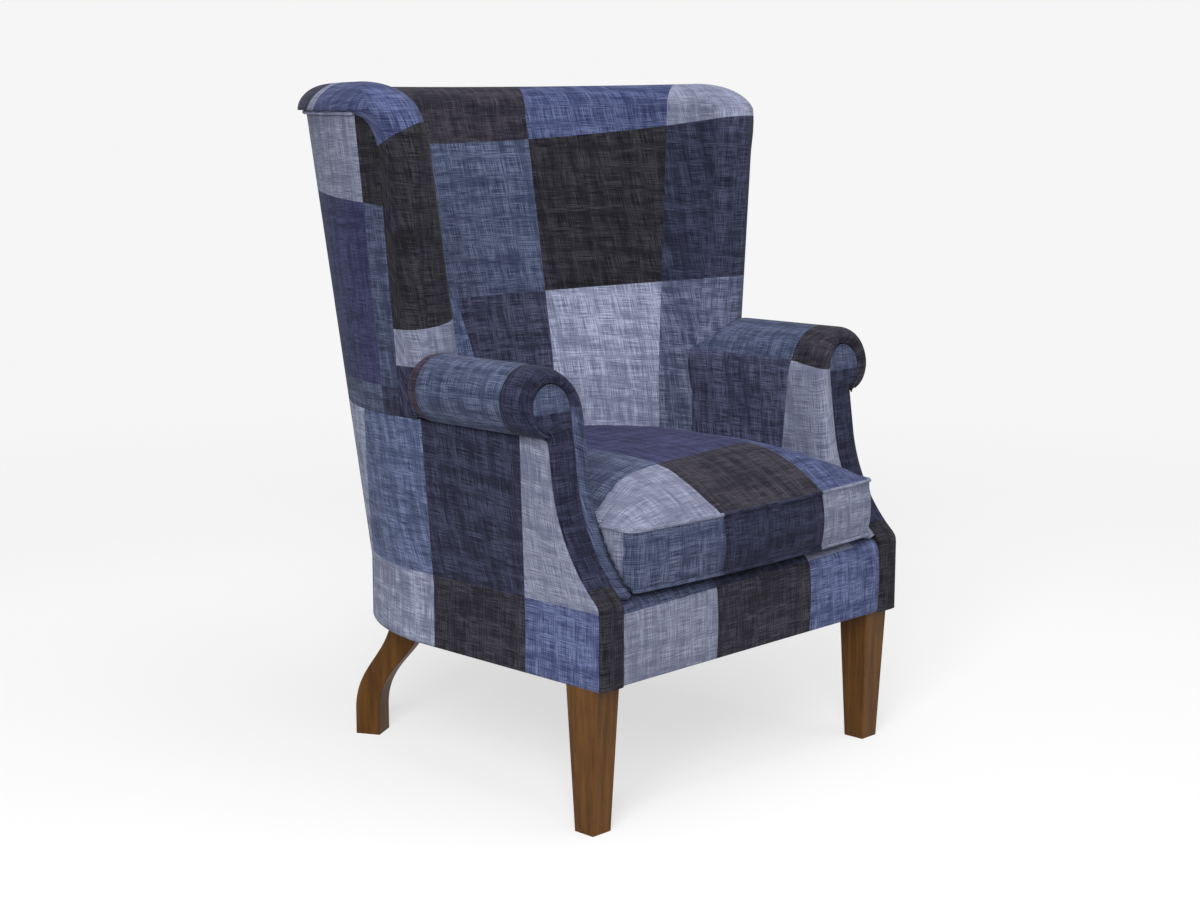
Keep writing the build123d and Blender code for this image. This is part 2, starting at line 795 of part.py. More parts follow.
# Outside wings and outside back: cover panels up to the seam under the roll

seam_gap_turn = degrees(fit_gap / shell_radius_low)
with BuildPart() as outside_wing:
    loft(
        [
            wing_strip(level, 0, panel_thickness, wing_panel_angle, wing_post_front)
            for level in (arm_frame_top + fit_gap, roll_seam_height - 2 * fit_gap)
        ],
        ruled=True,
    )
keep_pair(outside_wing, "outside_wing")

with BuildPart() as outside_back:
    edge = wing_panel_angle - seam_gap_turn
    loft(
        [
            strip(level, 0, panel_thickness, -edge, edge)
            for level in (seat_underside, bend_height, roll_seam_height - 2 * fit_gap)
        ],
        ruled=True,
    )
keep(outside_back, "outside_back")

# Dust cover: the cloth under the seat, cut round the legs

with BuildPart() as dust_cover:
    with BuildSketch(Plane.XY.offset(seat_underside)):
        with BuildLine():
            cover_radius = back_rail_outer - dust_cover_margin
            cover_front = front_y + dust_cover_margin
            barrel_arcs(cover_radius, shell_centre_low, shell_centre_low)
            Polyline(
                (-cover_radius, shell_centre_low),
                (-cover_radius, cover_front),
                (cover_radius, cover_front),
                (cover_radius, shell_centre_low),
            )
        make_face()
        clear = front_leg_head + 2 * dust_cover_thickness
        for side in (-1, 1):
            with Locations((side * front_leg_x, front_leg_y)):
                Rectangle(clear, clear, mode=Mode.SUBTRACT)
            with Locations(Location((side * rear_leg_x, rear_leg_y, 0), (0, 0, -side * rear_leg_turn))):
                Rectangle(clear, clear, mode=Mode.SUBTRACT)
    extrude(amount=-dust_cover_thickness)
keep(dust_cover, "dust_cover")

# Seat cushion: boxed sides, a flat base and a crowned top, cut to the hollow of the back


def cushion_plan(height, share):
    """Plan of the cushion: bowed front, straight sides and a round back, drawn in by a share.

    Its front corners are small at the seams and grow rounder up the crown."""
    half = cushion_half_width
    front = -overall_depth / 2 + piping_radius
    corner_y = front + cushion_bow
    back = hollow_centre(pad_bottom) + hollow_radius(pad_bottom) - cushion_back_gap
    round_y = back - half
    middle_y = corner_y + (back - corner_y) * crown_place

    def drawn(x, y):
        return (x * share, middle_y + (y - middle_y) * share)

    with BuildSketch(Plane.XY.offset(height)) as plan:
        with BuildLine():
            ThreePointArc(drawn(-half, corner_y), drawn(0, front), drawn(half, corner_y))
            for side in (-1, 1):
                Line(drawn(side * half, corner_y), drawn(side * half, round_y))
                bend = half * sqrt(0.5)
                ThreePointArc(
                    drawn(side * half, round_y), drawn(side * bend, round_y + bend), drawn(0, back)
                )
        make_face()
        corner = (cushion_corner + crown_corner * max(0.0, 1 - share)) * share
        fillet(plan.vertices().group_by(Axis.Y)[0], corner)
    return plan.sketch


def piping_loops(radius):
    """Sweeps a round section along the cushion's lower and upper seams."""
    for seam in (cushion_low_seam, cushion_high_seam):
        outline = cushion_plan(seam, 1.0).face().outer_wire()
        with BuildSketch(Plane(origin=outline.position_at(0), z_dir=outline.tangent_at(0))) as section:
            Circle(radius)
        sweep(section.sketch, path=outline)


with BuildPart() as cushion_piping:
    piping_loops(piping_radius)
keep(cushion_piping, "cushion_piping")

with BuildPart() as piping_groove:
    piping_loops(piping_radius + fit_gap)

with BuildPart() as seat_cushion:
    base_share = 1 - cushion_base_draw / cushion_half_width
    loft([cushion_plan(cushion_bottom, base_share), cushion_plan(cushion_low_seam, 1.0)], ruled=True)
    swell_share = 1 + cushion_side_swell / cushion_half_width
    swell_height = cushion_low_seam + cushion_boxing / 2
    loft(
        [
            cushion_plan(cushion_low_seam, 1.0),
            cushion_plan(swell_height, swell_share),
            cushion_plan(cushion_high_seam, 1.0),
        ]
    )
    loft([cushion_plan(cushion_high_seam + cushion_crown * rise, share) for rise, share in crown_steps])
    add(piping_groove.part, mode=Mode.SUBTRACT)
keep(seat_cushion, "seat_cushion")

# Edge piping: a sewn cord under the top roll, round the back from one wing to the other

with BuildPart() as edge_piping:
    cord_out = piping_radius + fit_gap
    cord_height = roll_seam_height - cord_out
    with BuildLine(Plane.XY.offset(cord_height)) as cord_path:
        barrel_arcs(shell_radius(cord_height) + cord_out, shell_centre(cord_height), wing_post_back)
    path = cord_path.wires()[0]
    with BuildSketch(Plane(origin=path.position_at(0), z_dir=path.tangent_at(0))):
        Circle(piping_radius)
    sweep(path=path)
keep(edge_piping, "edge_piping")
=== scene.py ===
# %% [markdown]
# ## The frame that carries the looks
# The chair's solids come from the CAD pack: legs, rails, pads and panels, each a named node on one
# of two bodies, "chair" and "cushion". Blender dresses that fixed frame. Every cover below is
# drawn where its solid is, in the same axes, so nothing is fitted by eye.

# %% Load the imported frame
import math

import bmesh
import bpy
import numpy as np
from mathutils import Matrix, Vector


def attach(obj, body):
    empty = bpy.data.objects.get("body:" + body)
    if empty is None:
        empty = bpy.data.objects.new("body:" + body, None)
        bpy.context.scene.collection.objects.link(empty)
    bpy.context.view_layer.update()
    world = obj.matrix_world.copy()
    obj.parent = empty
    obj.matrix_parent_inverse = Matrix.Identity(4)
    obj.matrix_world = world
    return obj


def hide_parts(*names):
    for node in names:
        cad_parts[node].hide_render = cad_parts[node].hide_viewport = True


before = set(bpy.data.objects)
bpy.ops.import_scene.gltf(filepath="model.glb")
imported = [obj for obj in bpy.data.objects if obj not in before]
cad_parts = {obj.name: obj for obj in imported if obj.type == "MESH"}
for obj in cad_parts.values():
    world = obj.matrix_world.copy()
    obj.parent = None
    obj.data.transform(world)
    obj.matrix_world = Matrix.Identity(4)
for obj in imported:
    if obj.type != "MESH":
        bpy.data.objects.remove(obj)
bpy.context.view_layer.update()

# %% [markdown]
# ## The camera
# The photograph looks at the chair from its front left, a little above the seat, with a long
# lens. The place and lens were solved from the feet, the seat corners and the top of the back.

# %% Camera
camera_place = Vector((-2.3149, -2.3103, 1.0257))
camera_aim = Vector((0.0, -0.0733, 0.4673))

camera_lens = bpy.data.cameras.new("studio_camera")
camera_lens.sensor_width = 36.0
camera_lens.lens = 61.79
camera = bpy.data.objects.new("studio_camera", camera_lens)
camera.location = camera_place
camera.rotation_euler = (camera_aim - camera_place).to_track_quat("-Z", "Y").to_euler()
bpy.context.scene.collection.objects.link(camera)
bpy.context.scene.camera = camera
bpy.context.scene.view_settings.view_transform = "Standard"
print("camera", round((camera_aim - camera_place).length, 2), "m from the chair")

# %% [markdown]
# ## Colours and nodes
# Colours are written as the sRGB hex values that a colour picker shows, and one function turns
# them into the linear values that shader sockets take. One more function adds a node with its
# settings and its links, so a material reads as a list of what it is made of.

# %% Colour and node helpers
def linear(hex_colour):
    """An sRGB hex colour as linear RGBA."""
    channels = [int(hex_colour[at : at + 2], 16) / 255 for at in (1, 3, 5)]
    return [c / 12.92 if c <= 0.04045 else ((c + 0.055) / 1.055) ** 2.4 for c in channels] + [1.0]


def add_node(tree, kind, inputs=None, **settings):
    """Adds a shader node. An input's value is a number, a colour or another node's output."""
    made = tree.nodes.new("ShaderNode" + kind)
    for setting, value in settings.items():
        setattr(made, setting, value)
    for socket, value in (inputs or {}).items():
        if isinstance(value, bpy.types.NodeSocket):
            tree.links.new(value, made.inputs[socket])
        else:
            made.inputs[socket].default_value = value
    return made


def new_material(name):
    """An empty material and its node tree."""
    material = bpy.data.materials.new(name)
    material.use_nodes = True
    material.node_tree.nodes.clear()
    return material, material.node_tree


print("white as linear RGBA:", linear("#ffffff"))

# %% [markdown]
# ## Slub linen
# The cover is a patchwork of linens dyed in blues, greys and blacks. Linen yarn is uneven, so each
# thread thickens and thins along its length, and the cloth shows short pale dashes along and
# across, with cloudy blocks where the dye took less. Two stretched noises, one along each
# thread direction, draw the dashes, and two broad ones draw the blocks. They read the UVs, which
# the meshes below fill with real lengths in metres, so the weave bends with the cloth.
# A furnishing linen has a thread about every 0.8 mm; the dashes are drawn a little wider so that
# they still show when the whole chair fills the picture.

# %% Slub linen
mm = 0.001
dash_width = 1.0 * mm
dash_length = 36.0 * mm
block_width = 15.0 * mm
block_length = 150.0 * mm
bolt_step_u, bolt_step_v = 0.37, 0.23


def linen(name, ground, thread, number):
    """Slub linen: matt, with pale thread dashes over a dyed ground, and a faint fibre sheen."""
    material, tree = new_material(name)
    lengths = add_node(tree, "TexCoord").outputs["UV"]
    bolt_place = (bolt_step_u * number, bolt_step_v * number, 0.0)
    own_piece = add_node(tree, "VectorMath", {0: lengths, 1: bolt_place})
    noises = {}
    for key, size_u, size_v in (
        ("warp", dash_width, dash_length),
        ("weft", dash_length, dash_width),
        ("warp_block", block_width, block_length),
        ("weft_block", block_length, block_width),
    ):
        stretched = add_node(
            tree,
            "VectorMath",
            {0: own_piece.outputs[0], 1: (1 / size_u, 1 / size_v, 1.0)},
            operation="MULTIPLY",
        )
        noises[key] = add_node(
            tree,
            "TexNoise",
            {"Vector": stretched.outputs[0], "Scale": 1.0, "Detail": 2.0, "Roughness": 0.6},
            noise_dimensions="2D",
        ).outputs["Fac"]
    threads = add_node(tree, "Math", {0: noises["warp"], 1: noises["weft"]}, operation="ADD")
    blocks = add_node(tree, "Math", {0: noises["warp_block"], 1: noises["weft_block"]}, operation="ADD")
    dashes = add_node(
        tree,
        "MapRange",
        {"Value": threads.outputs[0], "From Min": 0.84, "From Max": 1.2, "To Min": 0.0, "To Max": 1.0},
    )
    worn = add_node(
        tree,
        "MapRange",
        {"Value": blocks.outputs[0], "From Min": 0.78, "From Max": 1.26, "To Min": 0.4, "To Max": 1.45},
    )
    shown = add_node(
        tree, "Math", {0: dashes.outputs[0], 1: worn.outputs[0]}, operation="MULTIPLY", use_clamp=True
    )
    colour = add_node(
        tree,
        "Mix",
        {0: shown.outputs[0], 6: linear(ground), 7: linear(thread)},
        data_type="RGBA",
    )
    relief = add_node(
        tree, "Bump", {"Height": threads.outputs[0], "Strength": 0.22, "Distance": 0.5 * mm}
    )
    cloth = add_node(
        tree,
        "BsdfPrincipled",
        {
            "Base Color": colour.outputs[2],
            "Roughness": 0.92,
            "Specular IOR Level": 0.1,
            "Sheen Weight": 0.03,
            "Sheen Roughness": 0.5,
            "Normal": relief.outputs[0],
        },
    )
    add_node(tree, "OutputMaterial", {"Surface": cloth.outputs[0]})
    return material


# Most of these are the linens' own colours; three are a cloth painted lighter where shade falls: the navy
# inside the arms and on the lower back, and the silver on the lower back.
linen_colours = (
    ("black", "#111015", "#3d3c43"),
    ("charcoal", "#19171e", "#46434e"),
    ("navy", "#181928", "#464961"),
    ("midnight", "#121423", "#3d3f58"),
    # The navy cloth painted lighter, for the inside of the arms, to make up for the shade that falls there.
    ("navy_painted_lighter_for_arm_shade", "#242537", "#616481"),
    ("plum", "#20213c", "#494c72"),
    ("denim", "#283047", "#646d88"),
    ("chambray", "#313b58", "#7a85a8"),
    ("teal", "#262c43", "#5c647f"),
    ("slate", "#343b52", "#7b829c"),
    ("cobalt", "#262d4f", "#616a8f"),
    ("azure", "#2e375c", "#7680a8"),
    ("silver", "#5e6279", "#969bb0"),
    # A pale lavender linen; on the lower inside back it is the silver painted lighter, to make up for the
    # shade in the hollow.
    ("lavender_and_silver_painted_lighter", "#616680", "#b0b6ce"),
    # The navy cloth painted lighter, for the lower inside back, to make up for the shade in the hollow.
    ("navy_painted_lighter_for_back_shade", "#1f2030", "#565972"),
    ("mulberry", "#231e29", "#4f4454"),
)
cloths = {
    name: linen(f"slub_linen_{name}", ground, thread, number)
    for number, (name, ground, thread) in enumerate(linen_colours)
}
print("linens:", ", ".join(cloths))

# %% [markdown]
# ## Making a cover
# Each cover is a grid of points, worked out in millimetres from the same sizes as its CAD solid.
# The grid keeps the cloth's lengths as UVs. Patches are made as a cutter would: the grid is cut
# along straight lines, and every piece between the lines gets its own linen. The sheet is then
# given its thickness with Solidify, which also closes it.

# %% Cover helpers
weld_distance = 0.05 * mm


def grid_mesh(*grids, level=0, straight=False):
    """A bmesh from grids of points in millimetres. UVs are lengths along the grid, in metres.

    Lengths along the columns are measured from the row called level. With straight, every column
    takes its lengths from the middle one, so the threads stay straight where a cover is gathered.
    """
    made = bmesh.new()
    lengths = made.loops.layers.uv.new("cloth")
    for grid in grids:
        points = np.asarray(grid, float) * mm
        rows, columns = points.shape[:2]
        u = np.zeros((rows, columns))
        v = np.zeros((rows, columns))
        u[:, 1:] = np.cumsum(np.linalg.norm(np.diff(points, axis=1), axis=2), axis=1)
        v[1:] = np.cumsum(np.linalg.norm(np.diff(points, axis=0), axis=2), axis=0)
        u -= u[:, columns // 2][:, None]
        v -= v[level]
        if straight:
            v[:] = v[:, columns // 2][:, None]
        corners = [[made.verts.new(point) for point in row] for row in points]
        for i in range(rows - 1):
            for j in range(columns - 1):
                loop_places = ((i, j), (i, j + 1), (i + 1, j + 1), (i + 1, j))
                face = made.faces.new([corners[a][b] for a, b in loop_places])
                face.smooth = True
                for loop, (a, b) in zip(face.loops, loop_places):
                    loop[lengths].uv = (u[a, b], v[a, b])
    bmesh.ops.remove_doubles(made, verts=made.verts, dist=weld_distance)
    return made


def mirrored(grid):
    """The same grid on the chair's other side, still facing outwards."""
    return np.asarray(grid)[:, ::-1] * (-1.0, 1.0, 1.0)


def level_line(height, rise_x=0.0, rise_y=0.0):
    """A sewn line that runs level, or climbs with x or y. Its far side is the upper one."""
    return Vector((0.0, 0.0, height)), Vector((-rise_x, -rise_y, 1.0))


def upright_line(low, high, into):
    """A sewn line through two points, cut square to the cloth along the direction into."""
    low, high = Vector(low), Vector(high)
    return low, Vector(into).cross(high - low)


def cross_line(x):
    """A sewn line at one x, from front to back or upright. Its far side is the right one."""
    return Vector((x, 0.0, 0.0)), Vector((1.0, 0.0, 0.0))


def depth_line(y, towards=1.0):
    """A sewn line at one y. Its far side is the rear one, or the front one where towards is -1."""
    return Vector((0.0, y, 0.0)), Vector((0.0, towards, 0.0))


def past(line, place):
    return (place - line[0]).dot(line[1]) > 0


def count_past(lines, place):
    """How many of the lines a place lies past, which is its row or column in the patchwork."""
    return sum(past(line, place) for line in lines)


def cut_patches(made, lines, where=None):
    """Cuts the cloth along each line, only where the test says so."""
    for start, across in lines:
        faces = [f for f in made.faces if where is None or where(f.calc_center_median() / mm)]
        touched = set(faces)
        for face in faces:
            touched.update(face.edges)
            touched.update(face.verts)
        bmesh.ops.bisect_plane(
            made, geom=list(touched), plane_co=start * mm, plane_no=across, dist=1e-6
        )


def as_piece(made, name, cloth_of, thickness=0.0):
    """Turns the cut grid into an object, one linen per patch. A thickness in mm closes a sheet."""
    used = []
    for face in made.faces:
        cloth = cloth_of(face.calc_center_median() / mm)
        if cloth not in used:
            used.append(cloth)
        face.material_index = used.index(cloth)
    mesh = bpy.data.meshes.new(name)
    made.to_mesh(mesh)
    made.free()
    for cloth in used:
        mesh.materials.append(cloths[cloth])
    piece = bpy.data.objects.new(name, mesh)
    bpy.context.scene.collection.objects.link(piece)
    if thickness:
        wadding = piece.modifiers.new("wadding", "SOLIDIFY")
        wadding.thickness = thickness * mm
        wadding.offset = -1.0
        settle(piece)
    return piece


def settle(piece):
    """Applies the modifiers of a piece to its mesh."""
    shown = piece.evaluated_get(bpy.context.evaluated_depsgraph_get())
    applied = bpy.data.meshes.new_from_object(shown)
    piece.modifiers.clear()
    piece.data = applied


def dress(piece, node, body="chair"):
    """Hangs a piece on its body, in place of its CAD node."""
    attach(piece, body)
    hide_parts(node)


def area_of(grid):
    """The area of a grid of points in millimetres, in square metres: what the flat cut needs."""
    points = np.asarray(grid, float) * mm
    side_u = np.diff(points, axis=1)[:-1]
    side_v = np.diff(points, axis=0)[:, :-1]
    return float(np.linalg.norm(np.cross(side_u, side_v), axis=2).sum())


sides = {"left": -1, "right": 1}
print("sides of the chair:", ", ".join(sides))

# %% [markdown]
# ## The shell of the chair
# In plan the chair is a barrel: a round back that runs forward into two wings. The outer shell and
# the hollow inside are both circles that grow and move back with height. Two functions give each
# circle at any height, and the covers share them.

# %% The barrel by height
seat_line = 216.0
bend = 310.0
pad_foot = 342.0
wing_foot = 570.0
seam = 1008.0
wing_front = -12.0
shell_radius, shell_flare = 337.0, 63.0
shell_centre, shell_lean = -34.0, 40.0
hollow_radius, hollow_flare, flare_softness = 268.0, 64.0, 40.0
hollow_centre, hollow_lean = -100.0, 86.0


def shell(z):
    """Radius and centre of the outer barrel at a height."""
    share = np.clip((np.asarray(z, float) - bend) / (seam - bend), 0.0, None)
    return shell_radius + shell_flare * share, shell_centre + shell_lean * share


def hollow(z):
    """Radius and centre of the inside of the back at a height. It flares softly above the arms."""
    above = np.asarray(z, float) - wing_foot
    flare = (above + np.hypot(above, flare_softness)) / 2 / (seam - wing_foot)
    share = np.clip((np.asarray(z, float) - pad_foot) / (seam - pad_foot), 0.0, None)
    return hollow_radius + hollow_flare * flare, hollow_centre + hollow_lean * share


def end_angle(radius, centre, y):
    return np.arccos((y - centre) / radius)


def around(radius, centre, angle, z):
    """A point of a barrel circle, at an angle from the middle of the back towards the right."""
    return np.stack(
        np.broadcast_arrays(radius * np.sin(angle), centre + radius * np.cos(angle), z), axis=-1
    )


def round_line(low_angle, low_z, high_angle, high_z):
    """A patch line up the inside of the back, through an angle at each of two heights."""
    ends = []
    for angle, z in ((low_angle, low_z), (high_angle, high_z)):
        radius, centre = hollow(z)
        ends.append(Vector(around(radius, centre, math.radians(angle), z)))
    middle = math.radians((low_angle + high_angle) / 2)
    return upright_line(ends[0], ends[1], (math.sin(middle), math.cos(middle), 0.0))


print("outer radius at the seat and the seam:", [float(shell(z)[0]) for z in (seat_line, seam)], "mm")

# %% [markdown]
# ## Inside back, wings and top roll
# One padded cover lines the barrel, rolls over the top and round the front of each wing. It is
# made of grids that share their edge points, so they join as one smooth skin: the barrel with its
# roll, from the foot inside to the seam outside, and for each wing a round nose and the strip
# that turns back from the nose to the outside panel. The wing's top front corner is rounded. On the
# inside the nose stands on the arm, and on the outside it goes down behind the end of the arm.

# %% Sizes of the roll and the noses
roll_height, roll_slope = 42.0, 0.017
roll_radius, roll_half, roll_centre, roll_shift = 372.5, 40.5, -4.0, 10.0
corner_foot, corner_height, corner_run = 950.0, 100.0, 85.0
nose_start = -33.0
top_part, overhang = 930.0, 13.0
arm_middle = 344.0
shoulder_z, shoulder_radius = 583.0, 78.0
arm_roll_z, arm_roll_radius = 611.0, 50.0


def nose_line(z):
    """Where the wing's round nose begins: it turns back round the top front corner."""
    climb = np.clip((np.asarray(z, float) - corner_foot) / corner_height, 0.0, 1.0)
    return nose_start + corner_run * (1 - np.sqrt(1 - climb**2))


def arm_crown(x):
    """The height of an arm's upper surface at a distance from the middle."""
    reach = np.abs(x) - arm_middle
    inner = shoulder_z + np.sqrt(np.clip(shoulder_radius**2 - reach**2, 0.0, None))
    outer = arm_roll_z + np.sqrt(np.clip(arm_roll_radius**2 - reach**2, 0.0, None))
    return np.where(reach < 0.0, inner, outer)


def roll_ring(turn, front_y):
    """A line round the top roll: 0 is its inner edge, a quarter turn is its crest."""
    radius = roll_radius - roll_half * math.cos(turn)
    centre = roll_centre - roll_shift * math.cos(turn)
    ring = around(radius, centre, shares * end_angle(radius, centre, front_y), 0.0)
    ring[:, 2] = roll_z(turn, ring[:, 1])
    return ring


def roll_z(turn, y):
    """Height on the top roll: it dips a little towards the back."""
    climb = math.sin(turn)
    tip = nose_line(seam + roll_height * climb) - roll_half * abs(math.cos(turn))
    return seam + roll_height * climb - roll_slope * climb * (y - tip)


def fullness(z):
    """How far the wing's outer face swells out to meet the overhang of the roll."""
    return overhang * np.clip((z - top_part) / (seam - top_part), 0.0, 1.0) ** 2


def nose_ends(z):
    """Inner and outer x of the wing where its nose begins, by height."""
    inner_radius, inner_centre = hollow(z)
    outer_radius, outer_centre = shell(z)
    inner = inner_radius * np.sin(end_angle(inner_radius, inner_centre, nose_line(z)))
    outer_radius = outer_radius + fullness(z)
    return inner, outer_radius * np.sin(end_angle(outer_radius, outer_centre, nose_line(z)))


shares = np.linspace(-1.0, 1.0, 121)
turns = np.radians(np.linspace(0.0, 180.0, 33))[1:]
print("wing nose at three heights:", [nose_ends(z) for z in (700.0, 850.0, 1000.0)])

# %% Inside back grids
near_arm_top, arm_sink = 630.0, 3.0
tuck_in, tuck_down = 2.0, 0.5
behind_turn, behind_blend, behind_foot = 118.0, 24.0, 563.0

wing_inner = nose_ends(near_arm_top)[0]
join = float(arm_crown(wing_inner)) - arm_sink
low_rows = np.linspace(pad_foot, join, 30)
high_shares = np.linspace(0.0, 1.0, 42)
wing_rows = join + (seam - join) * high_shares

barrel = []
for z in np.concatenate([low_rows, wing_rows[1:]]):
    radius, centre = hollow(z)
    barrel.append(around(radius, centre, shares * end_angle(radius, centre, nose_line(z)), z))
for turn in turns:
    barrel.append(roll_ring(turn, nose_line(seam + roll_height * math.sin(turn))))
tuck_radius, tuck_centre = shell(seam)
tuck_radius = tuck_radius - tuck_in
tuck_end = end_angle(tuck_radius, tuck_centre, nose_line(seam))
barrel.append(around(tuck_radius, tuck_centre, shares * tuck_end, seam - tuck_down))

nose_turn = np.radians(np.linspace(0.0, 180.0, 25))
foot_inner, foot_outer = nose_ends(join)
foot_x = (foot_inner + foot_outer) / 2 - (foot_outer - foot_inner) / 2 * np.cos(nose_turn)
foot_z = arm_crown(foot_x) - arm_sink
foot_z[0] = join
behind_arm = np.clip((np.degrees(nose_turn) - behind_turn) / behind_blend, 0.0, 1.0)
foot_z += (behind_foot - foot_z) * behind_arm
nose = []
for share in high_shares:
    z = foot_z + (seam - foot_z) * share
    inner, outer = nose_ends(z)
    half = (outer - inner) / 2
    x = (inner + outer) / 2 - half * np.cos(nose_turn)
    nose.append(np.stack([x, nose_line(z) - half * np.sin(nose_turn), z], axis=-1))
for turn in turns[: len(turns) // 2]:
    front_y = nose_line(seam + roll_height * math.sin(turn))
    inner, outer = (roll_ring(edge, front_y)[-1, 0] for edge in (turn, math.pi - turn))
    half = (outer - inner) / 2
    y = front_y - half * np.sin(nose_turn)
    x = (inner + outer) / 2 - half * np.cos(nose_turn)
    nose.append(np.stack([x, y, roll_z(turn, y)], axis=-1))
nose = np.array(nose)
print("barrel and nose grids:", np.shape(barrel), nose.shape)

# %% [markdown]
# The strip turns back from the nose to the outside panel. It ends in a line that stands upright
# at the panel's front edge and bends back along the piping at the top.

# %% Strip behind the nose
strip_bend, strip_bend_height, strip_bend_run = 958.0, 50.0, 58.0
strip_ease, edge_lip, edge_tuck = 0.75, 1.0, 3.0


def strip_end(z):
    """Where the strip ends, by height."""
    climb = np.clip((z - strip_bend) / strip_bend_height, 0.0, 1.0)
    return wing_front + strip_bend_run * (1 - np.sqrt(1 - climb**2))


strip = []
for row in nose[: len(high_shares), -1]:
    z = row[2]
    radius, centre = shell(z)
    points = [row]
    for share in np.linspace(0.0, 1.0, 13)[1:]:
        y = row[1] + (strip_end(z) - row[1]) * share
        proud = fullness(z) * (1 - strip_ease * share**2) + edge_lip * (share > 0.9)
        proud -= edge_tuck * (share > 0.99)
        points.append(around(radius + proud, centre, end_angle(radius + proud, centre, y), z))
    strip.append(points)
strip = np.array(strip)

inside = grid_mesh(barrel, nose, mirrored(nose), strip, mirrored(strip), level=len(high_shares) - 1)
print("inside back:", len(inside.faces), "faces")

# %% [markdown]
# ## Patches of the inside back
# The rows are the roll, the upper back and the lower back, and the lines between them rise
# towards the wing fronts. The left wing's nose has its own patches, sewn on behind the front.

# %% Inside back patches
left_nose_back = 20.0
left_foot_inner = -352.0
roll_line = level_line(989.4, rise_y=-0.127)
waist_line = level_line(724.0, rise_y=-0.11)
strip_line = round_line(-2.0, 603.0, -6.6, 724.0)
middle_line = round_line(29.7, 595.0, 30.8, 955.0)
wing_line = round_line(68.9, 621.0, 73.8, 981.0)
back_of_left_nose = depth_line(left_nose_back, -1.0)
left_cap_line = (Vector((-385.3, -50.5, 978.2)), Vector((-0.308, 0.443, 1.0)))
left_nose_line = level_line(764.5, rise_x=0.19)
left_foot_line = level_line(640.0)
cap_line = (Vector((0.0, 140.0, seam)), Vector((0.0, 1.0, 0.75)))
stripe_line = (Vector((0.0, 169.0, seam)), Vector((0.0, 1.0, 0.95)))
far_roll_line = round_line(-28.0, 600.0, -28.0, 950.0)


def on_left_nose(place):
    return place.x < 0 and place.y < left_nose_back


def on_left_top(place):
    return place.x < 0 and place.z > top_part


def inside_cloth(place):
    if on_left_nose(place):
        if past(left_cap_line, place):
            return "cobalt"
        if place.x < left_foot_inner and not past(left_foot_line, place):
            return "navy"
        return "black" if past(left_nose_line, place) else "silver"
    turned = not past(middle_line, place)
    if past(roll_line, place):
        if place.x < 0 and not past(cap_line, place):
            return "cobalt"
        if place.x < 0 and not past(stripe_line, place):
            return "silver"
        if not past(far_roll_line, place):
            return "navy"
        return "charcoal" if turned else "silver" if past(wing_line, place) else "cobalt"
    if past(waist_line, place):
        return "denim" if turned else "navy" if past(wing_line, place) else "black"
    if turned:
        # On the lower back the navy is painted lighter, to make up for the shade in the hollow.
        return "navy_painted_lighter_for_back_shade" if past(strip_line, place) else "chambray"
    # Here the silver is painted lighter, to make up for the shade in the lower back.
    return "slate" if past(wing_line, place) else "lavender_and_silver_painted_lighter"


cut_patches(inside, [back_of_left_nose], lambda place: place.x < 0)
cut_patches(inside, [left_cap_line, left_nose_line, left_foot_line], on_left_nose)
back_lines = [roll_line, waist_line, strip_line, middle_line, wing_line]
cut_patches(inside, back_lines, lambda place: not on_left_nose(place))
cut_patches(inside, [cap_line, stripe_line, far_roll_line], on_left_top)
inside_back = as_piece(inside, "inside_back_cover", inside_cloth, thickness=9.0)
dress(inside_back, "inside_back")
print("inside back cover:", [material.name for material in inside_back.data.materials])

# %% [markdown]
# ## The swept front of the arms
# Seen from the side, the arm's front stands upright at the seat, turns back over a small toe,
# sweeps up in a long curve and leans back to the roll. Facings, arm covers and outside panels all
# end on this line.

# %% Arm front line
front = -405.0
toe, toe_radius, toe_turn = 326.0, 20.0, math.radians(48.0)
sweep_radius, rake = 260.0, math.radians(8.0)
toe_end = (front + toe_radius * (1 - math.cos(toe_turn)), toe + toe_radius * math.sin(toe_turn))
sweep_middle = (
    toe_end[0] - sweep_radius * math.cos(toe_turn),
    toe_end[1] + sweep_radius * math.sin(toe_turn),
)
rake_start = (
    sweep_middle[0] + sweep_radius * math.cos(rake),
    sweep_middle[1] - sweep_radius * math.sin(rake),
)


def arm_front(z):
    """How far forward the arm reaches at a height."""
    z = np.asarray(z, float)
    on_toe = front + toe_radius - np.sqrt(np.clip(toe_radius**2 - np.clip(z - toe, 0, None) ** 2, 0, None))
    on_sweep = sweep_middle[0] + np.sqrt(np.clip(sweep_radius**2 - (sweep_middle[1] - z) ** 2, 0, None))
    on_rake = rake_start[0] + (z - rake_start[1]) * math.tan(rake)
    return np.where(z < toe_end[1], on_toe, np.where(z < rake_start[1], on_sweep, on_rake))


print("arm front at the toe, the waist and the roll:", arm_front([300, 430, 611]).round(1))

# %% [markdown]
# ## Arm covers
# The cover climbs the inside of the arm, goes over the roll and tucks under it. At the front it
# turns in over a padded rim to the facing. Each point of the section has a partner on the facing's
# edge, and the rim is a half round between the two. At the back the cover is drawn in: the inside
# runs on to the wing, and the roll stops short where the wing's nose comes down.

# %% Arm grids
def arc_points(middle, radius, start, finish, count):
    turn = np.radians(np.linspace(start, finish, count))
    return np.stack([middle[0] + radius * np.cos(turn), middle[1] + radius * np.sin(turn)], axis=-1)


def straight_points(start, finish, count):
    return np.linspace(start, finish, count)


fit = 0.3
arm_inside = 266.0
roll_end_x, roll_tuck_x, under_roll = 356.9, 343.0, 562.7
head_middle, rim_radius = (331.5, 600.0), 36.2
rim_edge, rim_end, rim_tuck = 294.4, (343.5, 565.0), (342.0, 563.5)

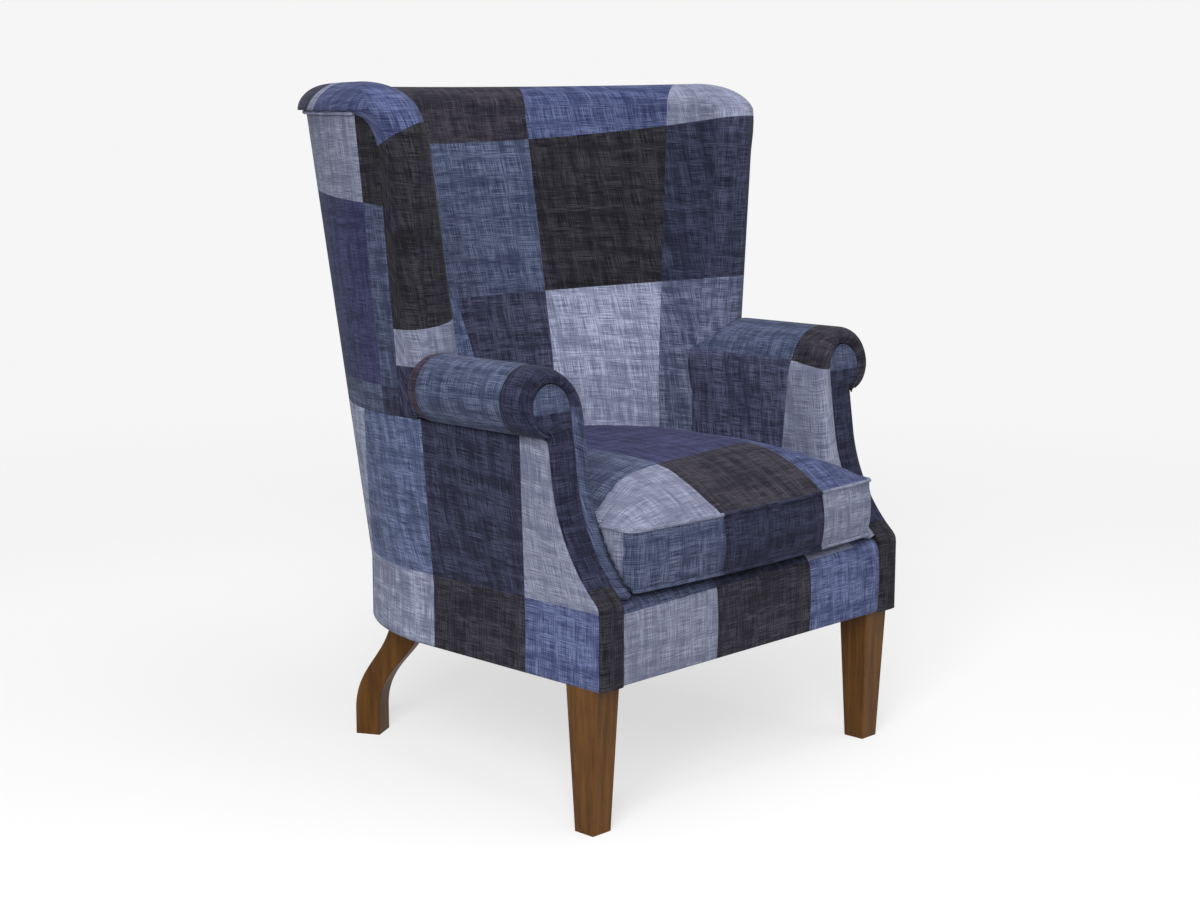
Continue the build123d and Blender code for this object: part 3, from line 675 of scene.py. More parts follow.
section = np.concatenate(
    [
        straight_points((arm_inside, pad_foot), (arm_inside, shoulder_z), 34)[:-1],
        arc_points((arm_middle, shoulder_z), shoulder_radius, 180.0, 90.0, 21)[:-1],
        arc_points((arm_middle, arm_roll_z), arm_roll_radius, 90.0, -75.0, 31)[:-1],
        straight_points((roll_end_x, under_roll), (roll_tuck_x, under_roll), 3),
    ]
)
facing_edge = np.concatenate(
    [
        straight_points((rim_edge, pad_foot), (rim_edge, head_middle[1]), 34)[:-1],
        arc_points(head_middle, rim_radius, 178.0, 98.0, 21)[:-1],
        arc_points(head_middle, rim_radius, 98.0, -70.0, 31)[:-1],
        straight_points(rim_end, rim_tuck, 3),
    ]
)
print("arm section:", len(section), "points, facing edge:", len(facing_edge), "points")

# %% [markdown]
# The rim is deeper and rounder round the roll than down the inside, and so is the rounded end at
# the back. The roll stops short of the wing there.

# %% Arm rims and ends
arm_roll_foot, arm_roll_blend = 540.0, 60.0
outside_foot, outside_blend = 290.0, 40.0
band_depth, roll_more_depth = 13.0, 5.0
band_bulge, roll_more_bulge = 3.5, 2.5
inside_round, roll_more_round = 16.0, 14.0
facing_set_back = 2.5
arm_roll_stop = 38.0

run = np.gradient(section, axis=0)
inward = np.stack([run[:, 1], -run[:, 0]], axis=-1) / np.linalg.norm(run, axis=1)[:, None]
on_roll = np.clip((section[:, 1] - arm_roll_foot) / arm_roll_blend, 0.0, 1.0)
rim_depth = band_depth + roll_more_depth * on_roll
rim_bulge = band_bulge + roll_more_bulge * on_roll
on_outside = np.clip((section[:, 0] - outside_foot) / outside_blend, 0.0, 1.0)
back_round = inside_round + roll_more_round * on_outside
end_y = wing_front - fit - arm_roll_stop * on_outside

arm_columns = []
for t in np.linspace(1.0, 0.0, 17)[:-1]:
    place = section + (facing_edge - section) * (1 - math.cos(math.pi * t)) / 2
    lift = math.sin(math.pi * t)
    depth = np.where(t > 0.5, facing_set_back, rim_depth)
    y = arm_front(place[:, 1]) + depth * (1 - lift) - rim_bulge * lift
    arm_columns.append(np.stack([place[:, 0], y, place[:, 1]], axis=-1))
start_y = arm_front(section[:, 1]) + rim_depth
for share in np.linspace(0.0, 1.0, 41):
    y = start_y + (end_y - back_round - start_y) * share
    arm_columns.append(np.stack([section[:, 0], y, section[:, 1]], axis=-1))
for turn in np.radians(np.linspace(0.0, 90.0, 9))[1:]:
    place = section + inward * (back_round * (1 - math.cos(turn)))[:, None]
    y = end_y - back_round * (1 - math.sin(turn))
    arm_columns.append(np.stack([place[:, 0], y, place[:, 1]], axis=-1))
arm_grid = np.stack(arm_columns, axis=1)
print("arm cover:", arm_grid.shape[0], "by", arm_grid.shape[1], "points")

# %% [markdown]
# ## Patches of the arms
# A dark ring is sewn round the front of each roll. Behind it the roll is one long piece of blue
# with a dark strip at its end, and the inside of the arm below the roll has two pieces of its own.

# %% Arm patches
rolled_line = level_line(610.5)
ring_foot_line = level_line(644.6, rise_y=0.146)
inner_line = (Vector((0.0, -240.0, 609.0)), Vector((0.0, 1.0, 0.086)))
end_strip_line = depth_line(-86.0)
ring_y = {"left": -261.0, "right": -240.0}
ring_cloth = {"left": "midnight", "right": "charcoal"}
inner_front_cloth = {"left": "teal", "right": "silver"}
inside_reach, inside_top = 301.0, 630.0
roll_outer_x = 335.0


def inside_of_arm(place):
    return abs(place.x) < inside_reach and place.z < inside_top


for side in sides:
    ring_line = depth_line(ring_y[side])

    def arm_cloth(place, ring_line=ring_line, side=side):
        if inside_of_arm(place):
            if past(inner_line, place):
                # Below the roll, at the rear, the navy is painted lighter to make up for the shade inside
                # the arm.
                return "denim" if past(rolled_line, place) else "navy_painted_lighter_for_arm_shade"
            return ring_cloth[side] if past(ring_foot_line, place) else inner_front_cloth[side]
        if not past(ring_line, place):
            return ring_cloth[side]
        return "mulberry" if past(end_strip_line, place) and abs(place.x) > roll_outer_x else "denim"

    grid = mirrored(arm_grid[:, ::-1]) if side == "left" else arm_grid[:, ::-1]
    arm = grid_mesh(grid, straight=True)
    cut_patches(arm, [ring_line, end_strip_line], lambda place: place.z > arm_roll_foot)
    cut_patches(arm, [rolled_line, ring_foot_line, inner_line], inside_of_arm)
    cover = as_piece(arm, f"arm_cover_{side}", arm_cloth, thickness=7.0)
    dress(cover, f"arm_pad_{side}")
    print(cover.name, len(cover.data.polygons), "faces")

# %% [markdown]
# ## Arm facings
# Each facing is a thin shaped board under cloth: an upright band that follows the swept line, with
# a round head in the middle of the roll. It is a grid whose width is read off that outline, a
# little domed, given the board's thickness and a soft bevel at its edges.

# %% Arm facings
head_radius = 35.6
band_inner, band_outer = 295.5, 340.5
band_rows_top, band_top, neck_top = 562.0, 566.0, 569.0
dome_height, board_thickness, eased_width = 2.0, 7.6, 2.2
head_rise = head_radius * np.sin(np.radians(np.linspace(-60.0, 84.0, 34)))
facing_rows = np.concatenate([np.linspace(seat_line, band_rows_top, 70), head_middle[1] + head_rise])
across = np.linspace(0.0, 1.0, 17)

facing_grid = []
for z in facing_rows:
    half = math.sqrt(max(0.0, head_radius**2 - (z - head_middle[1]) ** 2))
    left_x = band_inner if z < head_middle[1] else head_middle[0] - half
    right_x = head_middle[0] + half
    if z < neck_top:
        right_x = max(band_outer, right_x)
    if z < band_top:
        right_x = band_outer
    x = left_x + (right_x - left_x) * across
    dome = dome_height * (1 - (2 * across - 1) ** 4)
    y = arm_front(z) - dome
    facing_grid.append(np.stack([x, y, np.full_like(x, z)], axis=-1))
facing_grid = np.array(facing_grid)
head_line = level_line(595.0)
band_line = level_line(358.0)


def facing_cloth(place):
    if past(head_line, place):
        return "denim"
    return "midnight" if past(band_line, place) else "black"


for side in sides:
    grid = mirrored(facing_grid) if side == "left" else facing_grid
    board = grid_mesh(grid, straight=True)
    cut_patches(board, [head_line, band_line])
    facing = as_piece(board, f"arm_facing_cover_{side}", facing_cloth, board_thickness)
    eased = facing.modifiers.new("eased_edges", "BEVEL")
    eased.width = eased_width * mm
    eased.segments = 3
    eased.limit_method = "ANGLE"
    settle(facing)
    dress(facing, f"arm_facing_{side}")
    print(facing.name, len(facing.data.polygons), "faces")

# %% [markdown]
# ## Front border
# The border is the padded front of the seat. Its cover is turned under at the foot, stands up
# flat and rounds over to the platform that the cushion lies on.

# %% Front border
border_half = 294.6
foot_round, top_round = 5.0, 24.0
foot_bend, top_bend = seat_line + 6.0, 314.3
border_top, border_turn_in = top_bend + top_round, 30.0
swell_depth, swell_height = 2.0, 92.0
profile = np.concatenate(
    [
        arc_points((front + foot_round, seat_line + foot_round + fit), foot_round, 270.0, 180.0, 6),
        straight_points((front, foot_bend), (front, top_bend), 24)[1:],
        arc_points((front + top_round, top_bend), top_round, 180.0, 90.0, 14)[1:],
        straight_points((front + top_round, border_top), (front + border_turn_in, border_top), 3)[1:],
    ]
)
swell = swell_depth * np.sin(np.pi * np.clip((profile[:, 1] - foot_bend) / swell_height, 0.0, 1.0))
border_x = np.linspace(-border_half, border_half, 97)
border_grid = np.array(
    [
        np.stack([border_x, np.full_like(border_x, y - bulge), np.full_like(border_x, z)], axis=-1)
        for (y, z), bulge in zip(profile, swell)
    ]
)
border_columns = [cross_line(x) for x in (-97.0, 120.0, 236.0)]
border_row = level_line(326.0, rise_x=0.02)
border_cloths = {
    False: ("silver", "charcoal", "azure", "azure"),
    True: ("teal", "navy", "silver", "cobalt"),
}


def border_cloth(place):
    return border_cloths[past(border_row, place)][count_past(border_columns, place)]


border = grid_mesh(border_grid)
cut_patches(border, border_columns + [border_row])
front_border = as_piece(border, "front_border_cover", border_cloth, thickness=12.0)
dress(front_border, "front_border")
print("front border:", len(front_border.data.polygons), "faces")

# %% [markdown]
# ## Outside panels
# The outside of the chair is flat cloth, stretched over the frame and tacked: a panel for each
# arm, one for each wing and one for the back. Cloth like this keeps the shell's curve and nothing
# more, so each panel is a grid on the shell, cut from one flat piece of patchwork.

# %% Outside panel grids
panel_angle, panel_gap = math.radians(55.0), math.radians(0.05)
panel_thickness = 3.6
flank_x, flank_ease = 341.0, 60.0
behind_facing = 6.0
arm_panel_top, below_seam = 562.4, 4.0


def arm_panel_row(z):
    radius, centre = (float(value) for value in shell(z))
    start_y = float(arm_front(z)) + behind_facing
    y = np.linspace(start_y, centre, 49)
    x = flank_x + (radius - flank_x) * (y - front) / (centre - front)
    x -= (x[0] - flank_x) * (1 - np.clip((y - start_y) / flank_ease, 0.0, 1.0)) ** 2
    flank = np.stack([x, y, np.full_like(y, z)], axis=-1)
    turn = np.linspace(math.pi / 2, panel_angle, 21)[1:]
    return np.concatenate([flank, around(radius, centre, turn, z)])


def wing_panel_row(z):
    radius, centre = shell(z)
    front_angle = end_angle(radius, centre, wing_front + fit)
    return around(radius, centre, np.linspace(front_angle, panel_angle, 45), z)


def back_panel_row(z):
    radius, centre = shell(z)
    edge = panel_angle - panel_gap
    return around(radius, centre, np.linspace(edge, -edge, 81), z)


panel_top = seam - below_seam
arm_panel = np.array([arm_panel_row(z) for z in np.linspace(seat_line, arm_panel_top, 60)])
wing_panel = np.array([wing_panel_row(z) for z in np.linspace(under_roll, panel_top, 70)])
back_panel = np.array([back_panel_row(z) for z in np.linspace(seat_line, panel_top, 120)])
for grid in (arm_panel, wing_panel, back_panel):
    print("outside panel:", round(area_of(grid), 3), "square metres")

# %% [markdown]
# Each panel is sewn in the same way: cut into patches, given the cloth's thickness and hung in place
# of its CAD node.


def sew_panel(grid, name, node, cloth_of, lines):
    made = grid_mesh(grid)
    cut_patches(made, lines)
    panel = as_piece(made, name, cloth_of, panel_thickness)
    dress(panel, node)


# %% [markdown]
# ## Patches of the outside panels
# The photograph shows the left side. The right side and the back are not seen, so they follow
# the same lines with the linens in another order, as a patchwork maker would lay them.

# %% Outside panel patches
low_row = level_line(327.0)
flank_lines = [depth_line(y, -1.0) for y in (-55.0, -253.0)]
wing_lines = [level_line(606.0), level_line(874.0, rise_y=0.06)]
wing_column = (Vector((0.0, 29.2, 580.0)), Vector((0.0, -1.0, 0.0115)))
arm_panel_cloths = {
    "left": {False: ("lavender_and_silver_painted_lighter", "charcoal", "azure"), True: ("chambray", "navy", "silver")},
    "right": {False: ("charcoal", "silver", "black"), True: ("cobalt", "teal", "navy")},
}
wing_panel_cloths = {
    "left": (("denim", "navy"), ("plum", "teal"), ("silver", "black")),
    "right": (("silver", "teal"), ("denim", "black"), ("navy", "cobalt")),
}
print("patches of each wing panel:", sum(len(row) for row in wing_panel_cloths["left"]))

# %% [markdown]
# The wedge at the rear of the arm panel is a pale piece whose edge leans forward as it rises. The
# far side of that edge has to be the rear one on both sides of the chair.

# %% Sew the side panels
wedge_ends = ((60.0, 336.0), (72.3, 576.0))
wedge_angle = math.radians(66.0)


def rear_wedge_line(sign):
    ends = []
    for angle, z in wedge_ends:
        radius, centre = shell(z)
        point = around(radius, centre, math.radians(angle), z)
        ends.append(Vector((sign * point[0], point[1], point[2])))
    outward = Vector((sign * math.sin(wedge_angle), math.cos(wedge_angle), 0.0))
    start, across = upright_line(ends[0], ends[1], outward)
    on_flank = Vector((sign * flank_x, front, seat_line))
    return (start, -across) if past((start, across), on_flank) else (start, across)


for side, sign in sides.items():
    wedge_line = rear_wedge_line(sign)

    def arm_panel_cloth(place, wedge_line=wedge_line, side=side):
        upper = past(low_row, place)
        if upper and past(wedge_line, place):
            return "lavender_and_silver_painted_lighter"
        return arm_panel_cloths[side][upper][count_past(flank_lines, place)]

    def wing_panel_cloth(place, side=side):
        return wing_panel_cloths[side][count_past(wing_lines, place)][past(wing_column, place)]

    for grid, part, rule, lines in (
        (arm_panel, "outside_arm", arm_panel_cloth, [low_row, wedge_line] + flank_lines),
        (wing_panel, "outside_wing", wing_panel_cloth, wing_lines + [wing_column]),
    ):
        laid = mirrored(grid) if side == "left" else grid
        sew_panel(laid, f"{part}_cover_{side}", f"{part}_{side}", rule, lines)

# %% Sew the back panel
back_columns = [cross_line(x) for x in (-118.0, 96.0)]
back_rows = [level_line(420.0), level_line(716.0)]
back_cloths = (("cobalt", "silver", "charcoal"), ("black", "denim", "navy"), ("silver", "teal", "lavender_and_silver_painted_lighter"))


def back_panel_cloth(place):
    return back_cloths[count_past(back_rows, place)][count_past(back_columns, place)]


back_panel_lines = back_rows + back_columns
sew_panel(back_panel, "outside_back_cover", "outside_back", back_panel_cloth, back_panel_lines)

# %% [markdown]
# ## Piping
# Piping is a cotton cord sewn into a narrow strip of linen. It runs in the seam under the top roll,
# in a pale linen, and round both seams of the cushion. A round section is carried along the seam.

# %% Piping
piping_radius = 3.0
cord_front = 33.3


def piping_grid(line, closed):
    """A round tube along a line of points in millimetres."""
    line = np.asarray(line, float)
    if closed:
        ahead = np.roll(line, -1, axis=0) - np.roll(line, 1, axis=0)
    else:
        ahead = np.gradient(line, axis=0)
    ahead /= np.linalg.norm(ahead, axis=1)[:, None]
    up = np.array((0.0, 0.0, 1.0)) - ahead * ahead[:, 2:3]
    up /= np.linalg.norm(up, axis=1)[:, None]
    out = np.cross(ahead, up)
    turn = np.radians(np.linspace(0.0, 360.0, 13))
    rings = [line + piping_radius * (np.cos(a) * out + np.sin(a) * up) for a in turn]
    grid = np.stack(rings, axis=0)
    return np.concatenate([grid, grid[:, :1]], axis=1) if closed else grid


def capped(made):
    """Closes the open ends of a tube."""
    open_edges = [edge for edge in made.edges if edge.is_boundary]
    if open_edges:
        bmesh.ops.holes_fill(made, edges=open_edges)
    bmesh.ops.recalc_face_normals(made, faces=made.faces)
    return made


cord_z = seam - piping_radius - fit
cord_radius, cord_centre = shell(cord_z)
cord_radius = cord_radius + piping_radius + fit
cord_end = end_angle(cord_radius, cord_centre, cord_front)
cord_line = around(cord_radius, cord_centre, np.linspace(-cord_end, cord_end, 161), cord_z)
edge_cord = capped(grid_mesh(piping_grid(cord_line, False)))
edge_piping = as_piece(edge_cord, "edge_piping_cord", lambda place: "lavender_and_silver_painted_lighter")
dress(edge_piping, "edge_piping")
print("edge piping:", round(float(np.linalg.norm(np.diff(cord_line, axis=0), axis=1).sum())), "mm")

# %% [markdown]
# ## The seat cushion
# The loose cushion is a boxed one: a top and a base joined by an upright strip, the boxing, with a
# piped seam above and below it. Its filling pushes the top up into a crown and the boxing out,
# and the sewn seams hold. So the mesh starts as rings from base to crown, and Blender's cloth
# with air pressure inside does the swelling, with the seams and the base pinned. The front
# corners reach out a little where they stand clear of the arms.

# %% Cushion rings
cushion_half = 262.4
cushion_front, cushion_bow = -416.0, 13.0
cushion_back = 163.0
round_y = cushion_back - cushion_half
crown_share = 0.57
draw_y = cushion_front + cushion_bow + (cushion_back - cushion_front - cushion_bow) * crown_share
base_z, low_seam, high_seam = 338.7, 347.6, 433.6
crown, boxing_bulge = 59.5, 0.006
corner_radius, corner_growth = 15.0, 200.0
ear_reach, ear_gap, ear_blend = 16.0, 1.0, 8.0
ring_count = 264
base_shares = (0.06, 0.25, 0.45, 0.65, 0.82, 0.92, 0.9466)
base_edge_rise, base_edge_share = 3.0, 0.978
top_shares = (0.985, 0.965, 0.94, 0.91, 0.87, 0.82, 0.76, 0.69, 0.61, 0.52, 0.42, 0.31, 0.19, 0.07)


def cushion_outline(share):
    """The cushion's plan, drawn in towards its middle, as evenly spaced points."""
    corner = corner_radius + corner_growth * (1 - min(share, 1.0))
    corner_x = cushion_half - corner
    front_x = np.linspace(0.0, corner_x, 40)
    front_y = cushion_front + cushion_bow * (front_x / cushion_half) ** 2
    half = np.concatenate(
        [
            np.stack([front_x, front_y], axis=-1),
            arc_points((corner_x, front_y[-1] + corner), corner, -90.0, 0.0, 24)[1:],
            straight_points((cushion_half, front_y[-1] + corner), (cushion_half, round_y), 40)[1:],
            arc_points((0.0, round_y), cushion_half, 0.0, 90.0, 60)[1:],
        ]
    )
    gone = np.concatenate([[0.0], np.cumsum(np.linalg.norm(np.diff(half, axis=0), axis=1))])
    even = np.linspace(0.0, gone[-1], ring_count // 2 + 1)
    half = np.stack([np.interp(even, gone, half[:, 0]), np.interp(even, gone, half[:, 1])], axis=-1)
    whole = np.concatenate([half, half[-2:0:-1] * (-1.0, 1.0)])
    return np.stack([whole[:, 0] * share, draw_y + (whole[:, 1] - draw_y) * share], axis=-1)


ring_plan = [(base_z, share) for share in base_shares]
ring_plan.append((base_z + base_edge_rise, base_edge_share))
seam_rings = [len(ring_plan)]
for share in np.linspace(0.0, 1.0, 9):
    z = low_seam + (high_seam - low_seam) * share
    ring_plan.append((z, 1.0 + boxing_bulge * math.sin(math.pi * share)))
seam_rings.append(len(ring_plan) - 1)
for share in top_shares:
    ring_plan.append((high_seam + crown * (1 - 0.5 * share**3 - 0.5 * share**6), share))
rings = np.array(
    [np.column_stack([cushion_outline(share), np.full(ring_count, z)]) for z, share in ring_plan]
)
for ring in rings:
    clear = np.clip((arm_front(ring[:, 2]) - ear_gap - ring[:, 1]) / ear_blend, 0.0, 1.0)
    clear *= clear * (3 - 2 * clear)
    near_side = (np.abs(ring[:, 0]) / cushion_half) ** 6
    ring[:, 0] += ring[:, 0] / cushion_half * ear_reach * clear * near_side
top_seam = rings[seam_rings[1]]
girth = np.linalg.norm(np.diff(top_seam, axis=0, append=top_seam[:1]), axis=1)
girth = np.concatenate([[0.0], np.cumsum(girth)])
print("cushion:", len(rings), "rings, seam", round(girth[-1]), "mm round")

# %% [markdown]
# The rings become one closed mesh. The top and base take their UVs from above, and the boxing
# takes its own from its length round the cushion and its height.

# %% Cushion mesh
def cushion_mesh():
    made = bmesh.new()
    lengths = made.loops.layers.uv.new("cloth")
    corners = [[made.verts.new(Vector(point) * mm) for point in ring] for ring in rings]
    for i in range(len(rings) - 1):
        boxing = seam_rings[0] <= i < seam_rings[1]
        for j in range(ring_count):
            k = (j + 1) % ring_count
            face = made.faces.new((corners[i][j], corners[i][k], corners[i + 1][k], corners[i + 1][j]))
            for loop, (row, column) in zip(face.loops, ((i, j), (i, j + 1), (i + 1, j + 1), (i + 1, j))):
                point = loop.vert.co
                loop[lengths].uv = (girth[column] * mm, point.z) if boxing else (point.x, point.y)
    for ring, backwards in ((corners[0], True), (corners[-1], False)):
        face = made.faces.new(ring[::-1] if backwards else ring)
        for loop in face.loops:
            loop[lengths].uv = loop.vert.co.xy
        bmesh.ops.poke(made, faces=[face])
    for face in made.faces:
        face.smooth = True
    return made


filled = cushion_mesh()
cushion_shape = bpy.data.meshes.new("cushion_shape")
filled.to_mesh(cushion_shape)
filled.free()
cushion_cloth = bpy.data.objects.new("cushion_cloth", cushion_shape)
bpy.context.scene.collection.objects.link(cushion_cloth)
print("cushion mesh:", len(cushion_shape.polygons), "faces")

# %% [markdown]
# ## Filling the cushion
# The cloth runs for twenty steps with no gravity. How far a point may move is capped, so the
# cushion keeps clear of the arms, and the shape that it reaches is written back to the mesh.

# %% Cushion filling
fill_steps, fill_cap = 20, 9.0


def fill_cushion(cloth, cap):
    start = np.array([v.co for v in cloth.data.vertices])
    sewn = cloth.vertex_groups.new(name="sewn")
    held = [ring * ring_count + j for ring in seam_rings for j in range(ring_count)]
    held += list(range(seam_rings[0] * ring_count))
    held += [v.index for v in cloth.data.vertices if v.co.z < (base_z + 1.0) * mm]
    sewn.add(sorted(set(held)), 1.0, "REPLACE")
    filling = cloth.modifiers.new("filling", "CLOTH")
    filling.settings.quality = 6
    filling.settings.mass = 0.3
    filling.settings.tension_stiffness = 25.0
    filling.settings.compression_stiffness = 25.0
    filling.settings.shear_stiffness = 10.0
    filling.settings.bending_stiffness = 0.8
    filling.settings.vertex_group_mass = "sewn"
    filling.settings.use_pressure = True
    filling.settings.uniform_pressure_force = 4.0
    filling.settings.shrink_min = -0.012
    filling.settings.effector_weights.gravity = 0.0
    filling.point_cache.frame_start = 1
    filling.point_cache.frame_end = fill_steps
    for step in range(1, fill_steps + 1):
        bpy.context.scene.frame_set(step)
    shown = cloth.evaluated_get(bpy.context.evaluated_depsgraph_get())
    swollen = np.array([v.co for v in shown.data.vertices])
    bpy.context.scene.frame_set(1)
    cloth.modifiers.clear()
    move = swollen - start
    far = np.linalg.norm(move, axis=1)
    move *= np.minimum(1.0, cap * mm / np.maximum(far, 1e-9))[:, None]
    cloth.data.vertices.foreach_set("co", (start + move).ravel())
    cloth.data.update()
    print("cushion filled: moved", round(float(far.max()) * 1000, 1), "mm at most, capped at", cap)


fill_cushion(cushion_cloth, fill_cap)

# %% [markdown]
# ## Patches of the cushion
# The top is sewn from three columns with a row near the front, and the boxing has its own lines.

# %% Cushion patches
top_columns = [cross_line(x) for x in (-100.0, 138.0)]
boxing_columns = [cross_line(x) for x in (-97.0, 135.0)]
boxing_front, side_y = -330.0, -388.0
top_row = (Vector((-100.0, -288.0, 0.0)), Vector((-0.1, 1.0, 0.0)))
top_cloths = {False: ("silver", "charcoal", "cobalt"), True: ("denim", "plum", "cobalt")}
boxing_cloths = ("denim", "midnight", "silver")


def on_top(place):
    return place.z > high_seam + 0.01


def on_boxing(place):
    return low_seam < place.z < high_seam


def cushion_cloth_at(place):
    if on_top(place):
        return top_cloths[past(top_row, place)][count_past(top_columns, place)]
    if on_boxing(place):
        if place.y > side_y:
            return "silver" if place.x < 0 else "cobalt"
        return boxing_cloths[count_past(boxing_columns, place)]
    return "navy"


sewn = bmesh.new()
sewn.from_mesh(cushion_cloth.data)
cut_patches(sewn, top_columns + [top_row], on_top)
cut_patches(sewn, boxing_columns, lambda place: on_boxing(place) and place.y < boxing_front)
cut_patches(sewn, [depth_line(side_y)], on_boxing)
bpy.data.objects.remove(cushion_cloth)
cushion = as_piece(sewn, "seat_cushion_cover", cushion_cloth_at)
dress(cushion, "seat_cushion", body="cushion")
print("cushion height:", round(max(v.co.z for v in cushion.data.vertices) * 1000, 1), "mm")

# %% [markdown]
# The cushion's piping lies in its two seams, which the filling left in place. It is cut from the
# same linens as the boxing.

# %% Cushion piping
cords = capped(grid_mesh(*(piping_grid(rings[ring], True) for ring in seam_rings)))
cut_patches(cords, boxing_columns)


def cord_cloth(place):
    upper = place.z > (low_seam + high_seam) / 2
    return ("silver" if upper else "denim", "midnight", "silver")[count_past(boxing_columns, place)]


cushion_piping = as_piece(cords, "cushion_piping_cord", cord_cloth)
dress(cushion_piping, "cushion_piping", body="cushion")
print("cushion piping:", len(cushion_piping.data.polygons), "faces")

# %% [markdown]
# ## Plain cloths under the seat
# Three plain cloths are out of sight until the cushion is lifted or the chair is turned over: the
# cotton lining of the platform, the black spun cover under the frame, and jute webbing. All three
# are matt and show even threads both ways, so one recipe makes them from their thread sizes. The
# threads of the lining and of the black cover are drawn coarser than real ones, so that they show.

# %% Plain cloths
wave_length = 0.314  # metres from one stripe to the next where a wave texture's scale is 1


def plain_cloth(name, ground, thread, thread_size, roughness):
    """A plain woven or spun cloth: even threads both ways, matt."""
    material, tree = new_material(name)
    place = add_node(tree, "TexCoord").outputs["Object"]
    heights = []
    for direction in ("X", "Y"):
        stripe = add_node(
            tree,
            "TexWave",
            {"Vector": place, "Scale": wave_length / (thread_size * mm), "Distortion": 1.2, "Detail": 1.0},
            bands_direction=direction,
        )
        heights.append(stripe.outputs["Fac"])
    weave = add_node(tree, "Math", {0: heights[0], 1: heights[1]}, operation="MULTIPLY")
    wear = add_node(tree, "TexNoise", {"Vector": place, "Scale": 14.0, "Detail": 3.0})
    amount = add_node(tree, "Math", {0: weave.outputs[0], 1: wear.outputs["Fac"]}, operation="MULTIPLY")
    colour = add_node(
        tree, "Mix", {0: amount.outputs[0], 6: linear(ground), 7: linear(thread)}, data_type="RGBA"
    )
    relief = add_node(tree, "Bump", {"Height": weave.outputs[0], "Strength": 0.3, "Distance": 0.4 * mm})
    cloth = add_node(
        tree,
        "BsdfPrincipled",
        {
            "Base Color": colour.outputs[2],
            "Roughness": roughness,
            "Specular IOR Level": 0.25,
            "Normal": relief.outputs[0],
        },
    )
    add_node(tree, "OutputMaterial", {"Surface": cloth.outputs[0]})
    return material


cloths["lining"] = plain_cloth("cotton_platform_lining", "#3a3f52", "#5b6178", 2.0, 0.92)
cloths["spun"] = plain_cloth("spun_black_dust_cloth", "#1b1b1e", "#343438", 1.5, 0.85)
cloths["jute"] = plain_cloth("jute_webbing", "#8a6a42", "#c2a06c", 2.5, 0.95)
print("all cloths:", len(cloths))

# %% [markdown]
# The platform is a shallow pad, soft at its edges and a little full in the middle. The dust cover
# is flat cloth, cut away round the legs. The webbing straps cross over the seat frame.

# %% Seat platform
deck_radius, deck_front = 300.2, -374.6
deck_middle = np.array((0.0, -60.0))
deck_low, deck_high = 302.4, 338.2


def deck_outline(share):
    """The platform's plan: square at the front and round at the back."""
    path = np.concatenate(
        [
            straight_points((deck_radius, deck_front), (deck_radius, shell_centre), 40)[:-1],
            arc_points((0.0, shell_centre), deck_radius, 0.0, 180.0, 81),
            straight_points((-deck_radius, shell_centre), (-deck_radius, deck_front), 40)[1:],
            straight_points((-deck_radius, deck_front), (deck_radius, deck_front), 60)[1:],
        ]
    )
    return deck_middle + (path - deck_middle) * share


deck_rings = [(deck_low, share) for share in (0.02, 0.6, 0.975)]
deck_rings += [(deck_low + 4, 0.995), (deck_low + 18, 1.0)]
deck_rings += [(deck_high - 9, 1.0), (deck_high - 4, 0.994), (deck_high - 1, 0.98)]
deck_rings += [(deck_high, share) for share in (0.9, 0.02)]
deck_grid = []
for z, share in deck_rings:
    outline = deck_outline(share)
    deck_grid.append(np.column_stack([outline, np.full(len(outline), z)]))
deck = capped(grid_mesh(deck_grid))
platform = as_piece(deck, "seat_platform_cover", lambda place: "lining")
dress(platform, "seat_platform")
print("platform:", len(platform.data.polygons), "faces")

# %% Dust cover
cover_radius, cover_front, cover_drop = 320.5, -392.8, 0.1
leg_clear = 56.8
front_leg_x, front_leg_y = 313.5, -362.0
rear_leg_x, rear_leg_y, rear_leg_turn = 191.97, 165.14, math.radians(28.0)
leg_in = front_leg_x - leg_clear / 2
leg_back = front_leg_y + leg_clear / 2
cover_edge = np.concatenate(
    [
        [(leg_in, cover_front), (leg_in, leg_back), (cover_radius, leg_back)],
        arc_points((0.0, shell_centre), cover_radius, 0.0, 180.0, 61),
        [(-cover_radius, leg_back), (-leg_in, leg_back), (-leg_in, cover_front)],
    ]
)
dust = bmesh.new()
dust.faces.new([dust.verts.new(Vector((x, y, seat_line - cover_drop)) * mm) for x, y in cover_edge])
bmesh.ops.triangulate(dust, faces=dust.faces)
dust_cover = as_piece(dust, "dust_cover_cloth", lambda place: "spun", thickness=1.2)
for sign in sides.values():
    hole_place = Vector((sign * rear_leg_x, rear_leg_y, seat_line)) * mm
    bpy.ops.mesh.primitive_cube_add(size=leg_clear * mm, location=hole_place)
    leg_hole = bpy.context.object
    leg_hole.rotation_euler.z = -sign * rear_leg_turn
    clearing = dust_cover.modifiers.new("leg_hole", "BOOLEAN")
    clearing.object = leg_hole
    settle(dust_cover)
    bpy.data.objects.remove(leg_hole)
dress(dust_cover, "dust_cover")

